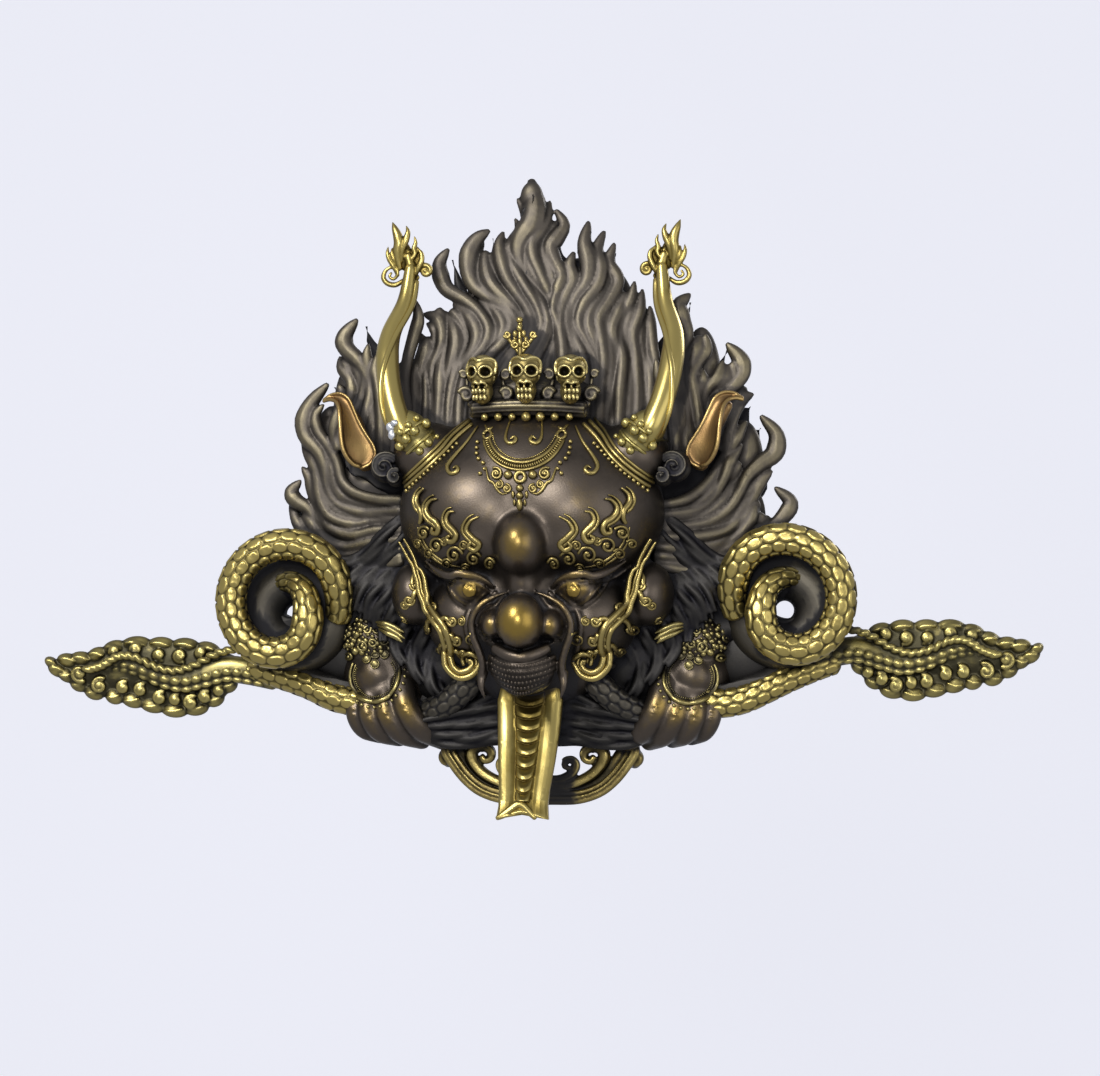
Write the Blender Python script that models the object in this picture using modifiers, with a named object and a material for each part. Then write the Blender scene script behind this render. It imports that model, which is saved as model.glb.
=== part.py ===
"""Bronze wall plaque: a horned guardian face with a flame mane, coiled snakes, hands and a hanging tongue.

Metres, +Z up. The plaque faces -Y, its flat back lies in the plane Y = 0 and hangs against a wall.
Four pieces: the mask casting, two horns soldered into the head, and the tongue set in the mouth.
Free forms keep their carving in units that are shares of their own size, each about a millimetre.
"""
import math

import bmesh
import bpy
from mathutils import Matrix, Vector

# The head, from the wall forward
HEAD_WIDTH = 0.172
HEAD_HEIGHT = 0.190
HEAD_DEPTH = 0.130
HEAD_CENTRE_Z = -0.118

# The flame mane behind the head
FLAME_REACH = 0.160
FLAME_WIDTH = 0.021
FLAME_THICKNESS = 0.018
MANE_THICKNESS = 0.022

# Ears, crown, hands, snakes and bracket, all in the one casting
EAR_LENGTH = 0.044
CROWN_WIDTH = 0.078
SKULL_WIDTH = 0.020
BEAD_DIAMETER = 0.0056
HAND_WIDTH = 0.056
HAND_SPREAD = 0.094
SNAKE_DIAMETER = 0.021
COIL_RADIUS = 0.043
COIL_SPREAD = 0.1615
COIL_CENTRE_Z = -0.175
COIL_OUT = 0.050
TAIL_LENGTH = 0.134
TAIL_WIDTH = 0.047
TAIL_TILT = math.radians(3.0)
BRACKET_WIDTH = 0.128
BRACKET_HEIGHT = 0.034
BRACKET_THICKNESS = 0.011

# The loose pieces
HORN_HEIGHT = 0.106
HORN_DIAMETER = 0.016
HORN_SPREAD = 0.0805
TONGUE_LENGTH = 0.082
TONGUE_WIDTH = 0.040
TONGUE_THICKNESS = 0.007

# The open back, the fits and the facets
WALL = 0.009
CLEARANCE = 0.0003
GRAIN = 0.0021
CASTING_TRIANGLES = 7600

FRONT = Vector((0, -1, 0))
FACE = HEAD_WIDTH / 172
FACE_UP = HEAD_HEIGHT / 190
FACE_OUT = HEAD_DEPTH / 130
SIDES = (-1, 1)

# Flame tips on each side: degrees from upright round the head's centre, and reach as a share of FLAME_REACH
LEFT_TIPS = (
    (1, 1.27), (3.5, 1.21), (7, 1.09), (10, 1.10), (20, 1.07), (30, 0.87), (45, 1.04), (49, 0.94),
    (55, 1.00), (61, 0.99), (73, 1.01), (82, 0.98), (86, 0.99), (91, 1.03), (101, 0.94), (112, 0.86),
)
RIGHT_TIPS = (
    (4, 1.16), (8, 1.00), (11, 1.13), (17, 1.07), (23, 0.93), (37, 1.03), (45, 0.94), (51, 0.99),
    (57, 1.00), (65, 0.96), (71, 0.96), (77, 0.99), (84, 0.94), (91, 1.00), (101, 0.94), (112, 0.86),
)

# The head's rounded masses in face units: across, up from the head's centre, out from the wall, three radii
HEAD_MASSES = (
    (0, 4, 52, 84, 64, 58), (40, -6, 68, 44, 42, 48), (66, 40, 64, 25, 24, 32),
    (0, -19, 98, 14, 18, 30), (38, -36, 84, 32, 12, 30), (34, -47, 92, 14, 7.5, 14),
    (46, -68, 58, 28, 26, 38), (0, -62, 58, 50, 42, 46), (0, -50, 84, 13, 22, 32),
    (0, -69, 105, 13.7, 17, 25), (18, -74, 96, 10, 9, 19), (0, -98, 84, 24, 20, 34),
    (0, -88, 38, 58, 38, 38), (76, -53, 54, 15, 20, 24), (0, -110, 18, 98, 41, 28),
    (0, -34, 20, 74, 76, 62),
)


def at(x, z, out):
    """A point by its place across, its height and how far it stands out from the wall."""
    return Vector((x, -out, z))


def on_face(x, z, out):
    """A point in face units round the head's centre."""
    return at(x * FACE, HEAD_CENTRE_Z + z * FACE_UP, out * FACE_OUT)


def head_front(x, z):
    """How far the head stands out at a place of the face, in face units."""
    front = 30.0
    for cx, cz, out, rx, rz, ro in HEAD_MASSES:
        for side in SIDES:
            left = 1 - ((x - side * cx) / rx) ** 2 - ((z - cz) / rz) ** 2
            if left > 0:
                front = max(front, out + ro * math.sqrt(left))
    return front


def relief(x, z, proud):
    """A point that stands a little proud of the head's own surface."""
    return on_face(x, z, head_front(x, z) + proud)


def through(points, count):
    """A smooth path of count points through a few chosen ones."""
    ends = [points[0] * 2 - points[1], *points, points[-1] * 2 - points[-2]]
    path = []
    for i in range(count):
        place = i * (len(points) - 1) / (count - 1)
        k = min(int(place), len(points) - 2)
        t = place - k
        a, b, c, d = ends[k:k + 4]
        path.append(((b * 2) + (c - a) * t + (a * 2 - b * 5 + c * 4 - d) * t ** 2
                     + (b * 3 - a - c * 3 + d) * t ** 3) / 2)
    return path


def spiral(centre, start_radius, end_radius, start, turn, count, rise=0.0):
    """A path that curls round a centre, from one radius to another."""
    path = []
    for i in range(count):
        t = i / (count - 1)
        angle = start + turn * t
        radius = start_radius + (end_radius - start_radius) * t
        path.append(centre + Vector((math.cos(angle), 0, math.sin(angle))) * radius + FRONT * rise * t)
    return path


def mirrored(path, side):
    """The same path on the left side of the plaque when side is -1."""
    return [Vector((p.x * side, p.y, p.z)) for p in path]


def loft(bm, rings):
    """Skin a row of unlike sections into one closed shape."""
    rows = [[bm.verts.new(p) for p in ring] for ring in rings]
    faces = [bm.faces.new(rows[0]), bm.faces.new(rows[-1])]
    for a, b in zip(rows, rows[1:]):
        for k in range(len(a)):
            j = (k + 1) % len(a)
            faces.append(bm.faces.new((a[k], a[j], b[j], b[k])))
    bmesh.ops.recalc_face_normals(bm, faces=faces)


def sweep(bm, path, width, height, sides=8, extra=0.0):
    """Sweep an oval section along a path; width and height take the share of the way along."""
    rings = []
    for i, p in enumerate(path):
        t = i / (len(path) - 1)
        ahead = (path[min(i + 1, len(path) - 1)] - path[max(i - 1, 0)]).normalized()
        across = ahead.cross(FRONT).normalized()
        lift = across.cross(ahead).normalized()
        ring = []
        for k in range(sides):
            angle = 2 * math.pi * (k + 0.5) / sides
            ring.append(p + across * (width(t) / 2 + extra) * math.cos(angle)
                        + lift * (height(t) / 2 + extra) * math.sin(angle))
        rings.append(ring)
    loft(bm, rings)


def taper(start, end, power=1.0):
    """A size that runs from start to end along a path."""
    return lambda t: start + (end - start) * t ** power


def leaf(size, tip, belly=0.3):
    """A size that swells to its belly and thins to a tip."""

    def swell(t):
        if t < belly:
            return tip + (size - tip) * (1 - 0.35 * (1 - t / belly) ** 2)
        return tip + (size - tip) * math.cos((t - belly) / (1 - belly) * math.pi / 2) ** 0.8

    return swell


def blob(bm, centre, rx, rz, out, detail=2):
    """A rounded mass with three radii."""
    place = Matrix.Translation(centre) @ Matrix.Diagonal((rx, out, rz, 1))
    bmesh.ops.create_icosphere(bm, subdivisions=detail, radius=1, matrix=place)


def bead(bm, centre, diameter):
    """One cast bead."""
    bmesh.ops.create_icosphere(bm, subdivisions=1, radius=diameter / 2, matrix=Matrix.Translation(centre))


def curl(bm, centre, radius, start, turn, thickness, side=1, rise=0.0):
    """A scroll that rolls in to its own centre."""
    path = mirrored(spiral(centre, radius, radius * 0.3, start, turn, 12, rise), side)
    sweep(bm, path, taper(thickness, thickness * 0.6), taper(thickness, thickness * 0.6), 6)


def add_head(bm):
    """The head: skull, brow, nose, cheeks, muzzle and the dark beard below."""
    for x, z, out, rx, rz, ro in HEAD_MASSES:
        for side in SIDES if x else (1,):
            blob(bm, on_face(x * side, z, out), rx * FACE, rz * FACE_UP, ro * FACE_OUT, 3)
    for side in SIDES:
        add_eye(bm, side)
        add_mouth_side(bm, side)
        add_brow_flames(bm, side)
        add_whisker(bm, side)


def add_eye(bm, side):
    """Heavy upper lid, lower lid and pupil."""
    for lift, out, thick in ((8, 3, 5), (-9, 1, 3.5)):
        spots = [relief(side * x, -47 + lift * bow + slant, out)
                 for x, bow, slant in ((17, 0.1, -6), (27, 0.9, -3), (38, 1.0, 0), (50, 0.2, 4))]
        lid = leaf(thick * FACE, 1.5 * FACE, 0.5)
        sweep(bm, through(spots, 9), lid, lid, 6)
    bead(bm, relief(side * 31, -50, 0.5), 7 * FACE)


def add_mouth_side(bm, side):
    """The fold from the nose round the muzzle, and the fang below it."""
    fold = [relief(side * x, z, 2) for x, z in ((14, -56), (26, -64), (29, -76), (26, -88), (24, -103))]
    sweep(bm, through(fold, 12), leaf(5.5 * FACE, 3 * FACE, 0.4), leaf(7 * FACE, 3 * FACE, 0.4), 6)
    fang = [on_face(side * x, z, out) for x, z, out in ((24, -100, 98), (25.5, -109, 98), (26, -118, 94))]
    sweep(bm, fang, taper(6 * FACE, 1.2 * FACE), taper(6 * FACE, 1.2 * FACE), 6)


def add_brow_flames(bm, side):
    """Four flame locks that stand on the brow and roll up below into curls."""
    locks = ((26, -3, 30, -22), (41, 0, 44, -18), (53, 8, 56, -12), (64, 15, 66, -5))
    for tip_x, tip_z, root_x, root_z in locks:
        spots = [(tip_x, tip_z), (tip_x - 3, tip_z - 6), (root_x, (tip_z + root_z) / 2), (root_x + 1, root_z)]
        lock = through([relief(side * x, z, 1.5) for x, z in spots], 8)
        sweep(bm, lock, leaf(5 * FACE, 1.2 * FACE, 0.7), leaf(5 * FACE, 1.2 * FACE, 0.7), 6)
        blob(bm, relief(side * (root_x - 3), root_z - 1, 0), 5 * FACE, 5 * FACE, 4 * FACE_OUT, 1)
    for x, z in ((62, -14), (52, -21), (40, -27), (28, -29)):
        blob(bm, relief(side * x, z, 0), 5.5 * FACE, 5.5 * FACE, 4 * FACE_OUT, 1)


def add_whisker(bm, side):
    """The long scroll that runs from the temple down the cheek and rolls in beside the mouth."""
    spots = ((82, -16, 66), (73, -31, 76), (70, -40, 82), (67, -52, 86), (59, -63, 92), (50, -73, 96),
             (47, -84, 98), (44, -97, 100), (36, -99, 101), (32, -93, 101), (37, -90, 101))
    path = through([on_face(side * x, z, out) for x, z, out in spots], 26)
    sweep(bm, path, taper(7 * FACE, 5 * FACE), taper(12 * FACE, 6 * FACE), 6)
    blob(bm, on_face(side * 44, -84, 76), 14 * FACE, 22 * FACE, 22 * FACE_OUT)


def flame_path(angle, share, side):
    """One lock's path: out from the head, then up to its tip."""
    centre = on_face(0, 8, 0)
    reach = FLAME_REACH * share
    side_on = min(max((angle - 25) / 45, 0), 1)
    root_angle = math.radians(angle * 0.8 + 24 * side_on)
    tip_angle = math.radians(angle)
    root = centre + Vector((math.sin(root_angle), 0, math.cos(root_angle))) * 52 * FACE
    tip = centre + Vector((math.sin(tip_angle), 0, math.cos(tip_angle))) * reach
    length = (tip - root).length
    outward = Vector((math.sin(root_angle), 0, math.cos(root_angle)))
    upward = Vector((math.sin(tip_angle) * 0.25, 0, 1)).normalized()
    a, b = root + outward * length * 0.45, tip - upward * length * 0.35
    path = []
    for i in range(12):
        t = i / 11
        p = root * (1 - t) ** 3 + a * 3 * t * (1 - t) ** 2 + b * 3 * t ** 2 * (1 - t) + tip * t ** 3
        sway = math.sin(2 * math.pi * (t * 1.3 + angle * 0.13)) * 5 * FACE * (1 - t * t)
        crest = max(math.cos(tip_angle), 0) ** 6
        out = MANE_THICKNESS * (1.1 - 0.6 * t) + FLAME_THICKNESS * 0.8 * crest * t
        p = Vector(((p.x + sway) * side, -out, p.z))
        path.append(p)
    return path


def add_mane(bm):
    """A dished plate with two layers of flame locks."""
    centre = on_face(0, 8, 0)
    unit = FLAME_REACH / 160
    blob(bm, centre, 114 * unit, 112 * unit, MANE_THICKNESS, 3)
    blob(bm, centre + Vector((0, 0, 96 * unit)), 54 * unit, 56 * unit, MANE_THICKNESS, 3)
    for side in SIDES:
        blob(bm, centre + Vector((side * 72 * unit, 0, 10 * unit)), 62 * unit, 62 * unit, MANE_THICKNESS, 3)
        blob(bm, centre + Vector((side * 90 * unit, 0, -72 * unit)), 56 * unit, 60 * unit, MANE_THICKNESS, 3)
    for tips, side in ((LEFT_TIPS, -1), (RIGHT_TIPS, 1)):
        for angle, share in tips:
            sweep(bm, flame_path(angle, share, side), leaf(FLAME_WIDTH, 0.003, 0.5),
                  leaf(FLAME_THICKNESS, 0.005, 0.5), 6)
        for (angle, share), (after, _) in zip(tips, tips[1:]):
            path = flame_path((angle + after) / 2, share * 0.8, side)
            path = [p + FRONT * MANE_THICKNESS * 0.3 for p in path]
            sweep(bm, path, leaf(FLAME_WIDTH * 0.7, 0.003, 0.5), leaf(FLAME_THICKNESS, 0.005, 0.5), 6)


def add_ears(bm):
    """Pointed ears with an open belly and a curled root."""
    unit = EAR_LENGTH / 44
    base = on_face(97, 28, 0)
    for side in SIDES:
        spots = ((2, -2, 56), (14, -3, 62), (24, 10, 66), (28, 28, 64), (40, 44, 56))
        path = [at(base.x + x * unit, base.z + z * unit, out * FACE_OUT) for x, z, out in spots]
        path = mirrored(through(path, 12), side)
        sweep(bm, path, leaf(21 * unit, 3 * unit, 0.5), leaf(15 * unit, 5 * unit, 0.4), 8)
        for x, z, radius in ((4, -2, 8), (-9, -6, 6)):
            centre = at(base.x + x * unit, base.z + z * unit, 64 * FACE_OUT)
            curl(bm, centre, radius * unit, 1.2, 6, 7 * unit, side)
        blob(bm, at(side * base.x, base.z, 34 * FACE_OUT), 20 * unit, 17 * unit, 30 * FACE_OUT)
        middle = at(side * (base.x + 22 * unit), base.z + 12 * unit, 34 * FACE_OUT)
        blob(bm, middle, 12 * unit, 20 * unit, 30 * FACE_OUT)


def add_skull(bm, x):
    """One skull of the crown, with its jaw."""
    unit = SKULL_WIDTH / 20
    centre = on_face(0, 92, 84)
    blob(bm, at(x, centre.z, -centre.y), 10 * unit, 9.5 * unit, 9.5 * unit)
    blob(bm, at(x, centre.z - 11 * unit, -centre.y + 1.5 * unit), 6 * unit, 8.5 * unit, 7 * unit)
    for side in SIDES:
        blob(bm, at(x + side * 4.2 * unit, centre.z - 1 * unit, -centre.y + 8 * unit), 3.6 * unit, 3.4 * unit,
             3 * unit, 1)


def add_crown(bm):
    """Band of beads, three skulls, scrolls between them and a finial over the middle one."""
    unit = CROWN_WIDTH / 78
    brim = on_face(0, 65, 80)
    band = [at(x * unit, brim.z, -brim.y - abs(x) ** 2 * 0.006 * FACE_OUT) for x in (-39, -20, 0, 20, 39)]
    sweep(bm, through(band, 11), taper(5 * unit, 5 * unit), taper(12 * unit, 12 * unit), 8)
    for k in range(-3, 4):
        bead(bm, at(9 * k * unit, brim.z - 6 * unit, -brim.y + 3 * unit - abs(k) * unit), BEAD_DIAMETER)
    for k in (-1, 0, 1):
        add_skull(bm, k * SKULL_WIDTH * 1.42)
    for k in (-1.5, -0.5, 0.5, 1.5):
        centre = at(k * SKULL_WIDTH * 1.42, brim.z + 12 * unit, -brim.y - 4 * unit)
        blob(bm, centre, 6 * unit, 13 * unit, 6 * unit)
    blob(bm, at(0, brim.z + 8 * unit, -brim.y - 14 * unit), 44 * unit, 26 * unit, 14 * unit, 3)
    top = on_face(0, 92, 84)
    finial = ((0, 13, 7), (-4, 18, 7), (4, 18, 7), (0, 22, 6.5), (-8, 17, 5), (8, 17, 5), (0, 28, 5))
    for x, z, size in finial:
        bead(bm, at(x * unit, top.z + z * unit, -top.y - 3 * unit), size * unit)
    for side in SIDES:
        add_horn_collar(bm, side)
        spots = [relief(side * x, z, 1) for x, z in ((38, 58), (56, 42), (72, 26), (84, 8))]
        sweep(bm, through(spots, 10), taper(6 * FACE, 4 * FACE), taper(5 * FACE, 4 * FACE), 6)


def add_forehead_jewel(bm):
    """Crescent pendant with a rosette and a drop, and the small curls beside it."""
    for radius, thick in ((26, 5), (32, 4)):
        arc = []
        for i in range(13):
            angle = math.pi * (1.02 + 0.96 * i / 12)
            arc.append(relief(radius * math.cos(angle), 50 + radius * math.sin(angle) * 0.85, 1))
        sweep(bm, arc, taper(thick * FACE, thick * FACE), taper(4 * FACE, 4 * FACE), 6)
    stones = ((0, 21, 8), (-9, 22, 6), (9, 22, 6), (0, 12, 6.5), (0, 4, 5), (-17, 25, 5), (17, 25, 5))
    for x, z, size in stones:
        bead(bm, relief(x, z, 1), size * FACE)
    for side in SIDES:
        stem = [relief(side * x, z, 1) for x, z in ((34, 56), (40, 42), (46, 32), (43, 27))]
        sweep(bm, through(stem, 8), taper(3.5 * FACE, 3 * FACE), taper(3 * FACE, 3 * FACE), 6)


def horn_foot():
    """Where the right horn's centre line comes out of the head."""
    return at(HORN_SPREAD, HEAD_CENTRE_Z + 54 * FACE_UP, 85 * FACE_OUT)


def add_horn_collar(bm, side):
    """The boss that carries a horn, with two rows of beads below and inside its foot."""
    unit = HORN_DIAMETER / 16
    foot = horn_foot()
    boss = [foot + Vector((0, 6, -6)) * unit, on_face(52, 30, 62)]
    sweep(bm, mirrored(boss, side), taper(26 * unit, 34 * unit), taper(22 * unit, 34 * unit), 8)
    for x, z, out in ((5.5, -11, -1), (-0.5, -3, 3)):
        for k in range(4):
            spot = foot + Vector((x - 5.5 * k, -out - 2 * k, z + 4.5 * k)) * unit
            blob(bm, mirrored([spot], side)[0], 4 * unit, 4 * unit, 5 * unit, 1)


def horn_path(side):
    """The horn's centre line, from inside the head to the foot of its finial."""
    rise = HORN_HEIGHT / 106
    foot = horn_foot()
    spots = ((-6, -10, -5), (0, 0, 0), (7, 18, -5), (11.5, 40, -14), (11.5, 60, -26), (4.5, 82, -39),
             (1.5, 106, -46))
    points = [foot + Vector((x, -out, z)) * rise for x, z, out in spots]
    return mirrored(through(points, 12), side)


def horn_thickness(t):
    """The horn's diameter along its length."""
    return HORN_DIAMETER * (1.0 - 0.12 * t - 0.42 * max(t - 0.55, 0) / 0.45)


def build_horn(name, side):
    """One horn with the tendril that winds round it and the scrolled flame on its top."""
    path = horn_path(side)
    body = new_piece(name, lambda bm: sweep(bm, path, horn_thickness, horn_thickness, 10))
    top = path[-1]
    unit = HORN_DIAMETER / 16
    fine = through(path, 61)

    def tendril(bm):
        winding = []
        for i in range(12):
            t = 0.20 + 0.78 * i / 11
            p = fine[round(t * 60)]
            angle = math.radians(200 - 215 * i / 11)
            reach = horn_thickness(t) / 2 - 0.2 * unit
            across = math.cos(angle) * -side
            winding.append(p + Vector((across * reach, -math.sin(angle) * reach * 1.0, 0)))
        sweep(bm, winding, taper(4 * unit, 3 * unit), taper(4 * unit, 3 * unit), 5)

    def finial(bm):
        spots = [top + Vector((side * x, 0, z)) * unit for x, z in ((0, -3), (4, 8), (3, 18), (10, 31))]
        sweep(bm, through(spots, 8), leaf(15 * unit, 2 * unit, 0.45), leaf(7 * unit, 2 * unit, 0.4), 8)

    add_union(body, "tendril", tendril)
    add_union(body, "finial", finial)
    for k, (x, z, radius) in enumerate(((8, -6, 6), (-8, -2, 6), (-6, 9, 5.5))):
        centre = top + Vector((side * x * unit, 0, z * unit))
        size = radius * unit
        add_union(body, f"finial_curl_{k}", lambda bm, c=centre, r=size: blob(bm, c, r, r, 3 * unit, 1))
    return body


def tongue_sections(extra=0.0):
    """The tongue's rings, from its root in the mouth down to the flared tip."""
    unit = TONGUE_LENGTH / 82
    root = on_face(0, -112, 64)
    half = TONGUE_WIDTH / 2
    section = ((-1, 1), (-0.72, 1.5), (-0.36, 0.1), (0.36, 0.1), (0.72, 1.5), (1, 1), (1, -1), (-1, -1))
    rings = []
    for t, width, lift in ((0, 0.86, 0), (0.12, 1.0, 1), (0.35, 0.96, 7), (0.6, 0.88, 17), (0.82, 0.81, 27),
                           (0.93, 0.80, 32), (1.0, 0.90, 36)):
        centre = root + Vector((0, -lift * unit, -TONGUE_LENGTH * t))
        ring = []
        for x, out in section:
            dip = 7 * unit * abs(x) if t == 1.0 else 0
            ends = extra * ((t == 0) - (t == 1.0))
            ring.append(centre + Vector((
                x * half * width + math.copysign(extra, x),
                -out * TONGUE_THICKNESS / 2 - math.copysign(extra, out), ends - dip)))
        rings.append(ring)
    return rings


def build_tongue():
    """The hanging tongue with raised rails and a column of ribs down its middle."""
    body = new_piece("tongue", lambda bm: loft(bm, tongue_sections()))
    rings = tongue_sections()
    column = [(ring[2] + ring[3]) / 2 for ring in rings]
    line = through(column, 41)
    for k in range(8):
        centre = line[11 + round(k * 3.5)]
        size = TONGUE_WIDTH * (0.19 - 0.012 * k)
        add_union(body, f"rib_{k}", lambda bm, c=centre, s=size: blob(bm, c, s, s * 0.72, s * 0.62, 1))
    return body


def add_hands(bm):
    """Hands with a round ornament, four bent fingers and a beaded wrist, each gripping its snake."""
    unit = HAND_WIDTH / 56
    for side in SIDES:
        centre = at(side * HAND_SPREAD, HEAD_CENTRE_Z - 113 * FACE_UP, 0)
        masses = ((2, 6, 18, 26, 26, 24), (7, 8, 30, 17, 17, 17), (12, 34, 20, 24, 20, 24))
        for x, z, out, rx, rz, ro in masses:
            spot = centre + Vector((side * x * unit, -out * unit, z * unit))
            blob(bm, spot, rx * unit, rz * unit, ro * unit)
        ring = spiral(centre + Vector((side * 7 * unit, -44 * unit, 8 * unit)), 15.5 * unit, 15.5 * unit, 0,
                      2 * math.pi * 0.99, 17)
        sweep(bm, ring, taper(4 * unit, 4 * unit), taper(4 * unit, 4 * unit), 6)
        for x, tip, thick in ((-24, -37, 14), (-11, -36, 14), (2, -34, 13.5), (15, -31, 13)):
            spots = ((x * 0.7, 4, 32), (x * 0.9, -12, 42), (x, -22, 42), (x - 2, -31, 34), (x - 3, tip, 22))
            finger = [centre + Vector((side * u * unit, -out * unit, v * unit)) for u, v, out in spots]
            joint = leaf(thick * unit, 8 * unit, 0.5)
            sweep(bm, through(finger, 9), joint, joint, 8)
        for k in range(5):
            spot = centre + Vector((side * (-8 + 8 * k) * unit, -(44 - k) * unit, (30 + 3 * k) * unit))
            bead(bm, spot, 10 * unit)
        for k in range(3):
            spot = centre + Vector((side * (24 + 3 * k) * unit, -42 * unit, (22 - 10 * k) * unit))
            bead(bm, spot, 11 * unit)


def coil_path(side):
    """The snake's coil: one wide loop that rolls in to a small eye."""
    centre = at(COIL_SPREAD, COIL_CENTRE_Z, 0)
    outer = COIL_RADIUS - SNAKE_DIAMETER * 0.5
    path = []
    for i in range(40):
        t = i / 39
        angle = math.pi * (1.1 - 3.0 * t)
        ease = min(max((t - 0.37) / 0.5, 0), 1)
        radius = outer * (1.10 - 0.72 * ease ** 2 * (3 - 2 * ease))
        out = COIL_OUT * (1 - 0.35 * max(1 - t * 9, 0)) + SNAKE_DIAMETER * 0.25 * ease
        path.append(centre + Vector((math.cos(angle) * radius, -out, math.sin(angle) * radius)))
    return mirrored(path, side)


def tail_line(side):
    """The snake from under the hand, below the coil and out to the root of its tail."""
    hand = at(HAND_SPREAD + 10 * FACE, HEAD_CENTRE_Z - 126 * FACE_UP, SNAKE_DIAMETER * 1.5)
    below = at(COIL_SPREAD - COIL_RADIUS * 0.4, COIL_CENTRE_Z - COIL_RADIUS * 1.26, SNAKE_DIAMETER * 1.3)
    under = at(COIL_SPREAD + COIL_RADIUS * 0.1, COIL_CENTRE_Z - COIL_RADIUS * 1.06, SNAKE_DIAMETER)
    root = at(COIL_SPREAD + COIL_RADIUS * 0.8, COIL_CENTRE_Z - COIL_RADIUS * 0.86, SNAKE_DIAMETER * 0.6)
    return mirrored(through([hand, below, under, root], 12), side)


def add_tail(bm, side):
    """The tail: a waving scaled body between two rows of scroll leaves."""
    unit = TAIL_LENGTH / 134
    root = tail_line(1)[-1]
    turn = Matrix.Rotation(-side * TAIL_TILT, 4, "Y")

    def place(x, z, out):
        """A point of the tail, in shares of its length, turned about its root."""
        p = root + turn @ Vector((x * unit, -out * unit, z * TAIL_WIDTH / 47))
        return Vector((p.x * side, p.y, p.z))

    waves = ((-4, 0), (22, 0), (48, -4), (72, 2), (100, 6), (134, 10))
    body = through([place(x, z, 0) for x, z in waves], 18)
    sweep(bm, body, leaf(20 * unit, 5 * unit, 0.2), leaf(17 * unit, 5 * unit, 0.2), 8)
    web = through([place(x, z, -3) for x, z in ((14, 1), (50, -2), (90, 4), (120, 9))], 9)
    sweep(bm, web, leaf(TAIL_WIDTH * 0.62, 8 * unit, 0.35), taper(9 * unit, 7 * unit), 8)
    for k in range(7):
        t = k / 6
        spread = 13 + 6 * math.sin(math.pi * min(t * 1.2, 1)) - 5 * t
        for edge in SIDES:
            spot = place(24 + 82 * t + 3 * edge, 6 * t - 2 + edge * spread, 1)
            blob(bm, spot, 7 * unit, 6 * unit, 8 * unit, 1)
            away = Vector((side * 13 * unit, 0, edge * 6 * unit))
            tip = [spot, spot + away * 0.5, spot + away]
            sweep(bm, tip, taper(10 * unit, 2 * unit), taper(10 * unit, 5 * unit), 6)


def add_snakes(bm):
    """Two snakes: each rolls into a coil, passes through a hand and ends in a leafy tail."""
    thick = SNAKE_DIAMETER
    for side in SIDES:
        sweep(bm, coil_path(side), taper(thick, thick * 0.62, 2), taper(thick, thick * 0.7, 2), 8)
        sweep(bm, tail_line(side), taper(thick * 1.05, thick * 0.95), taper(thick * 1.1, thick * 0.9), 8)
        middle = at(COIL_SPREAD, COIL_CENTRE_Z, COIL_OUT * 0.52)
        backing = spiral(middle, COIL_RADIUS * 0.56, COIL_RADIUS * 0.56, 0, 2 * math.pi * 0.99, 17)
        sweep(bm, mirrored(backing, side), taper(COIL_RADIUS * 0.72, COIL_RADIUS * 0.72),
              taper(COIL_OUT * 0.7, COIL_OUT * 0.7), 8)
        bridge = [at(side * HAND_SPREAD, COIL_CENTRE_Z - 10 * FACE_UP, COIL_OUT * 0.4),
                  at(side * (COIL_SPREAD - COIL_RADIUS * 0.6), COIL_CENTRE_Z, COIL_OUT * 0.45)]
        sweep(bm, through(bridge, 3), taper(COIL_RADIUS * 1.5, COIL_RADIUS * 1.2),
              taper(COIL_OUT * 0.8, COIL_OUT * 0.8), 8)
        grip = at(side * HAND_SPREAD * 0.9, HEAD_CENTRE_Z - 116 * FACE_UP, thick)
        cheek = [grip, on_face(side * 30, -122, 40)]
        sweep(bm, through(cheek, 4), taper(thick, thick), taper(thick, thick), 8)
        add_tail(bm, side)


def add_bracket(bm):
    """The openwork scroll below: a crescent with rolled ends and two curls that rise inside it."""
    wide, high = BRACKET_WIDTH / 2, BRACKET_HEIGHT
    unit = BRACKET_HEIGHT / 34
    foot = HEAD_CENTRE_Z - 150 * FACE_UP
    out = BRACKET_THICKNESS
    arc = []
    for i in range(15):
        turn = math.pi * (i / 14 - 0.5)
        arc.append(at(wide * 0.98 * math.sin(turn), foot - high * math.cos(turn) ** 0.9, out))
    sweep(bm, arc, leaf(10 * unit, 6 * unit, 0.5), leaf(BRACKET_THICKNESS, 0.006, 0.5), 8)
    for side in SIDES:
        end = at(side * (wide - 2 * unit), foot - 5 * unit, out)
        hook = spiral(end, 7 * unit, 3 * unit, 1.2, -5 * side, 9)
        sweep(bm, hook, taper(5 * unit, 4 * unit), taper(BRACKET_THICKNESS, 0.007), 6)
        curl(bm, at(wide * 0.58, foot - 8 * unit, out), 6.5 * unit, -1.2, 5, 7 * unit, side)
        curl(bm, at(wide * 0.38, foot - 16 * unit, out), 5 * unit, -1.2, 5, 6 * unit, side)
        stem = [at(wide * 0.12, foot - high * 0.8, out), at(wide * 0.5, foot - high * 0.72, out),
                at(wide * 0.72, foot - high * 0.4, out), at(wide * 0.62, foot - high * 0.1, out)]
        sweep(bm, mirrored(through(stem, 9), side), taper(7 * unit, 5 * unit), taper(9 * unit, 8 * unit), 6)
        post = [at(side * wide * 0.99, foot - 3 * unit, out), at(side * wide * 0.9, foot + 16 * unit, out)]
        sweep(bm, through(post, 3), taper(12 * unit, 18 * unit), taper(BRACKET_THICKNESS * 1.6, 0.02), 6)


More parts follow.
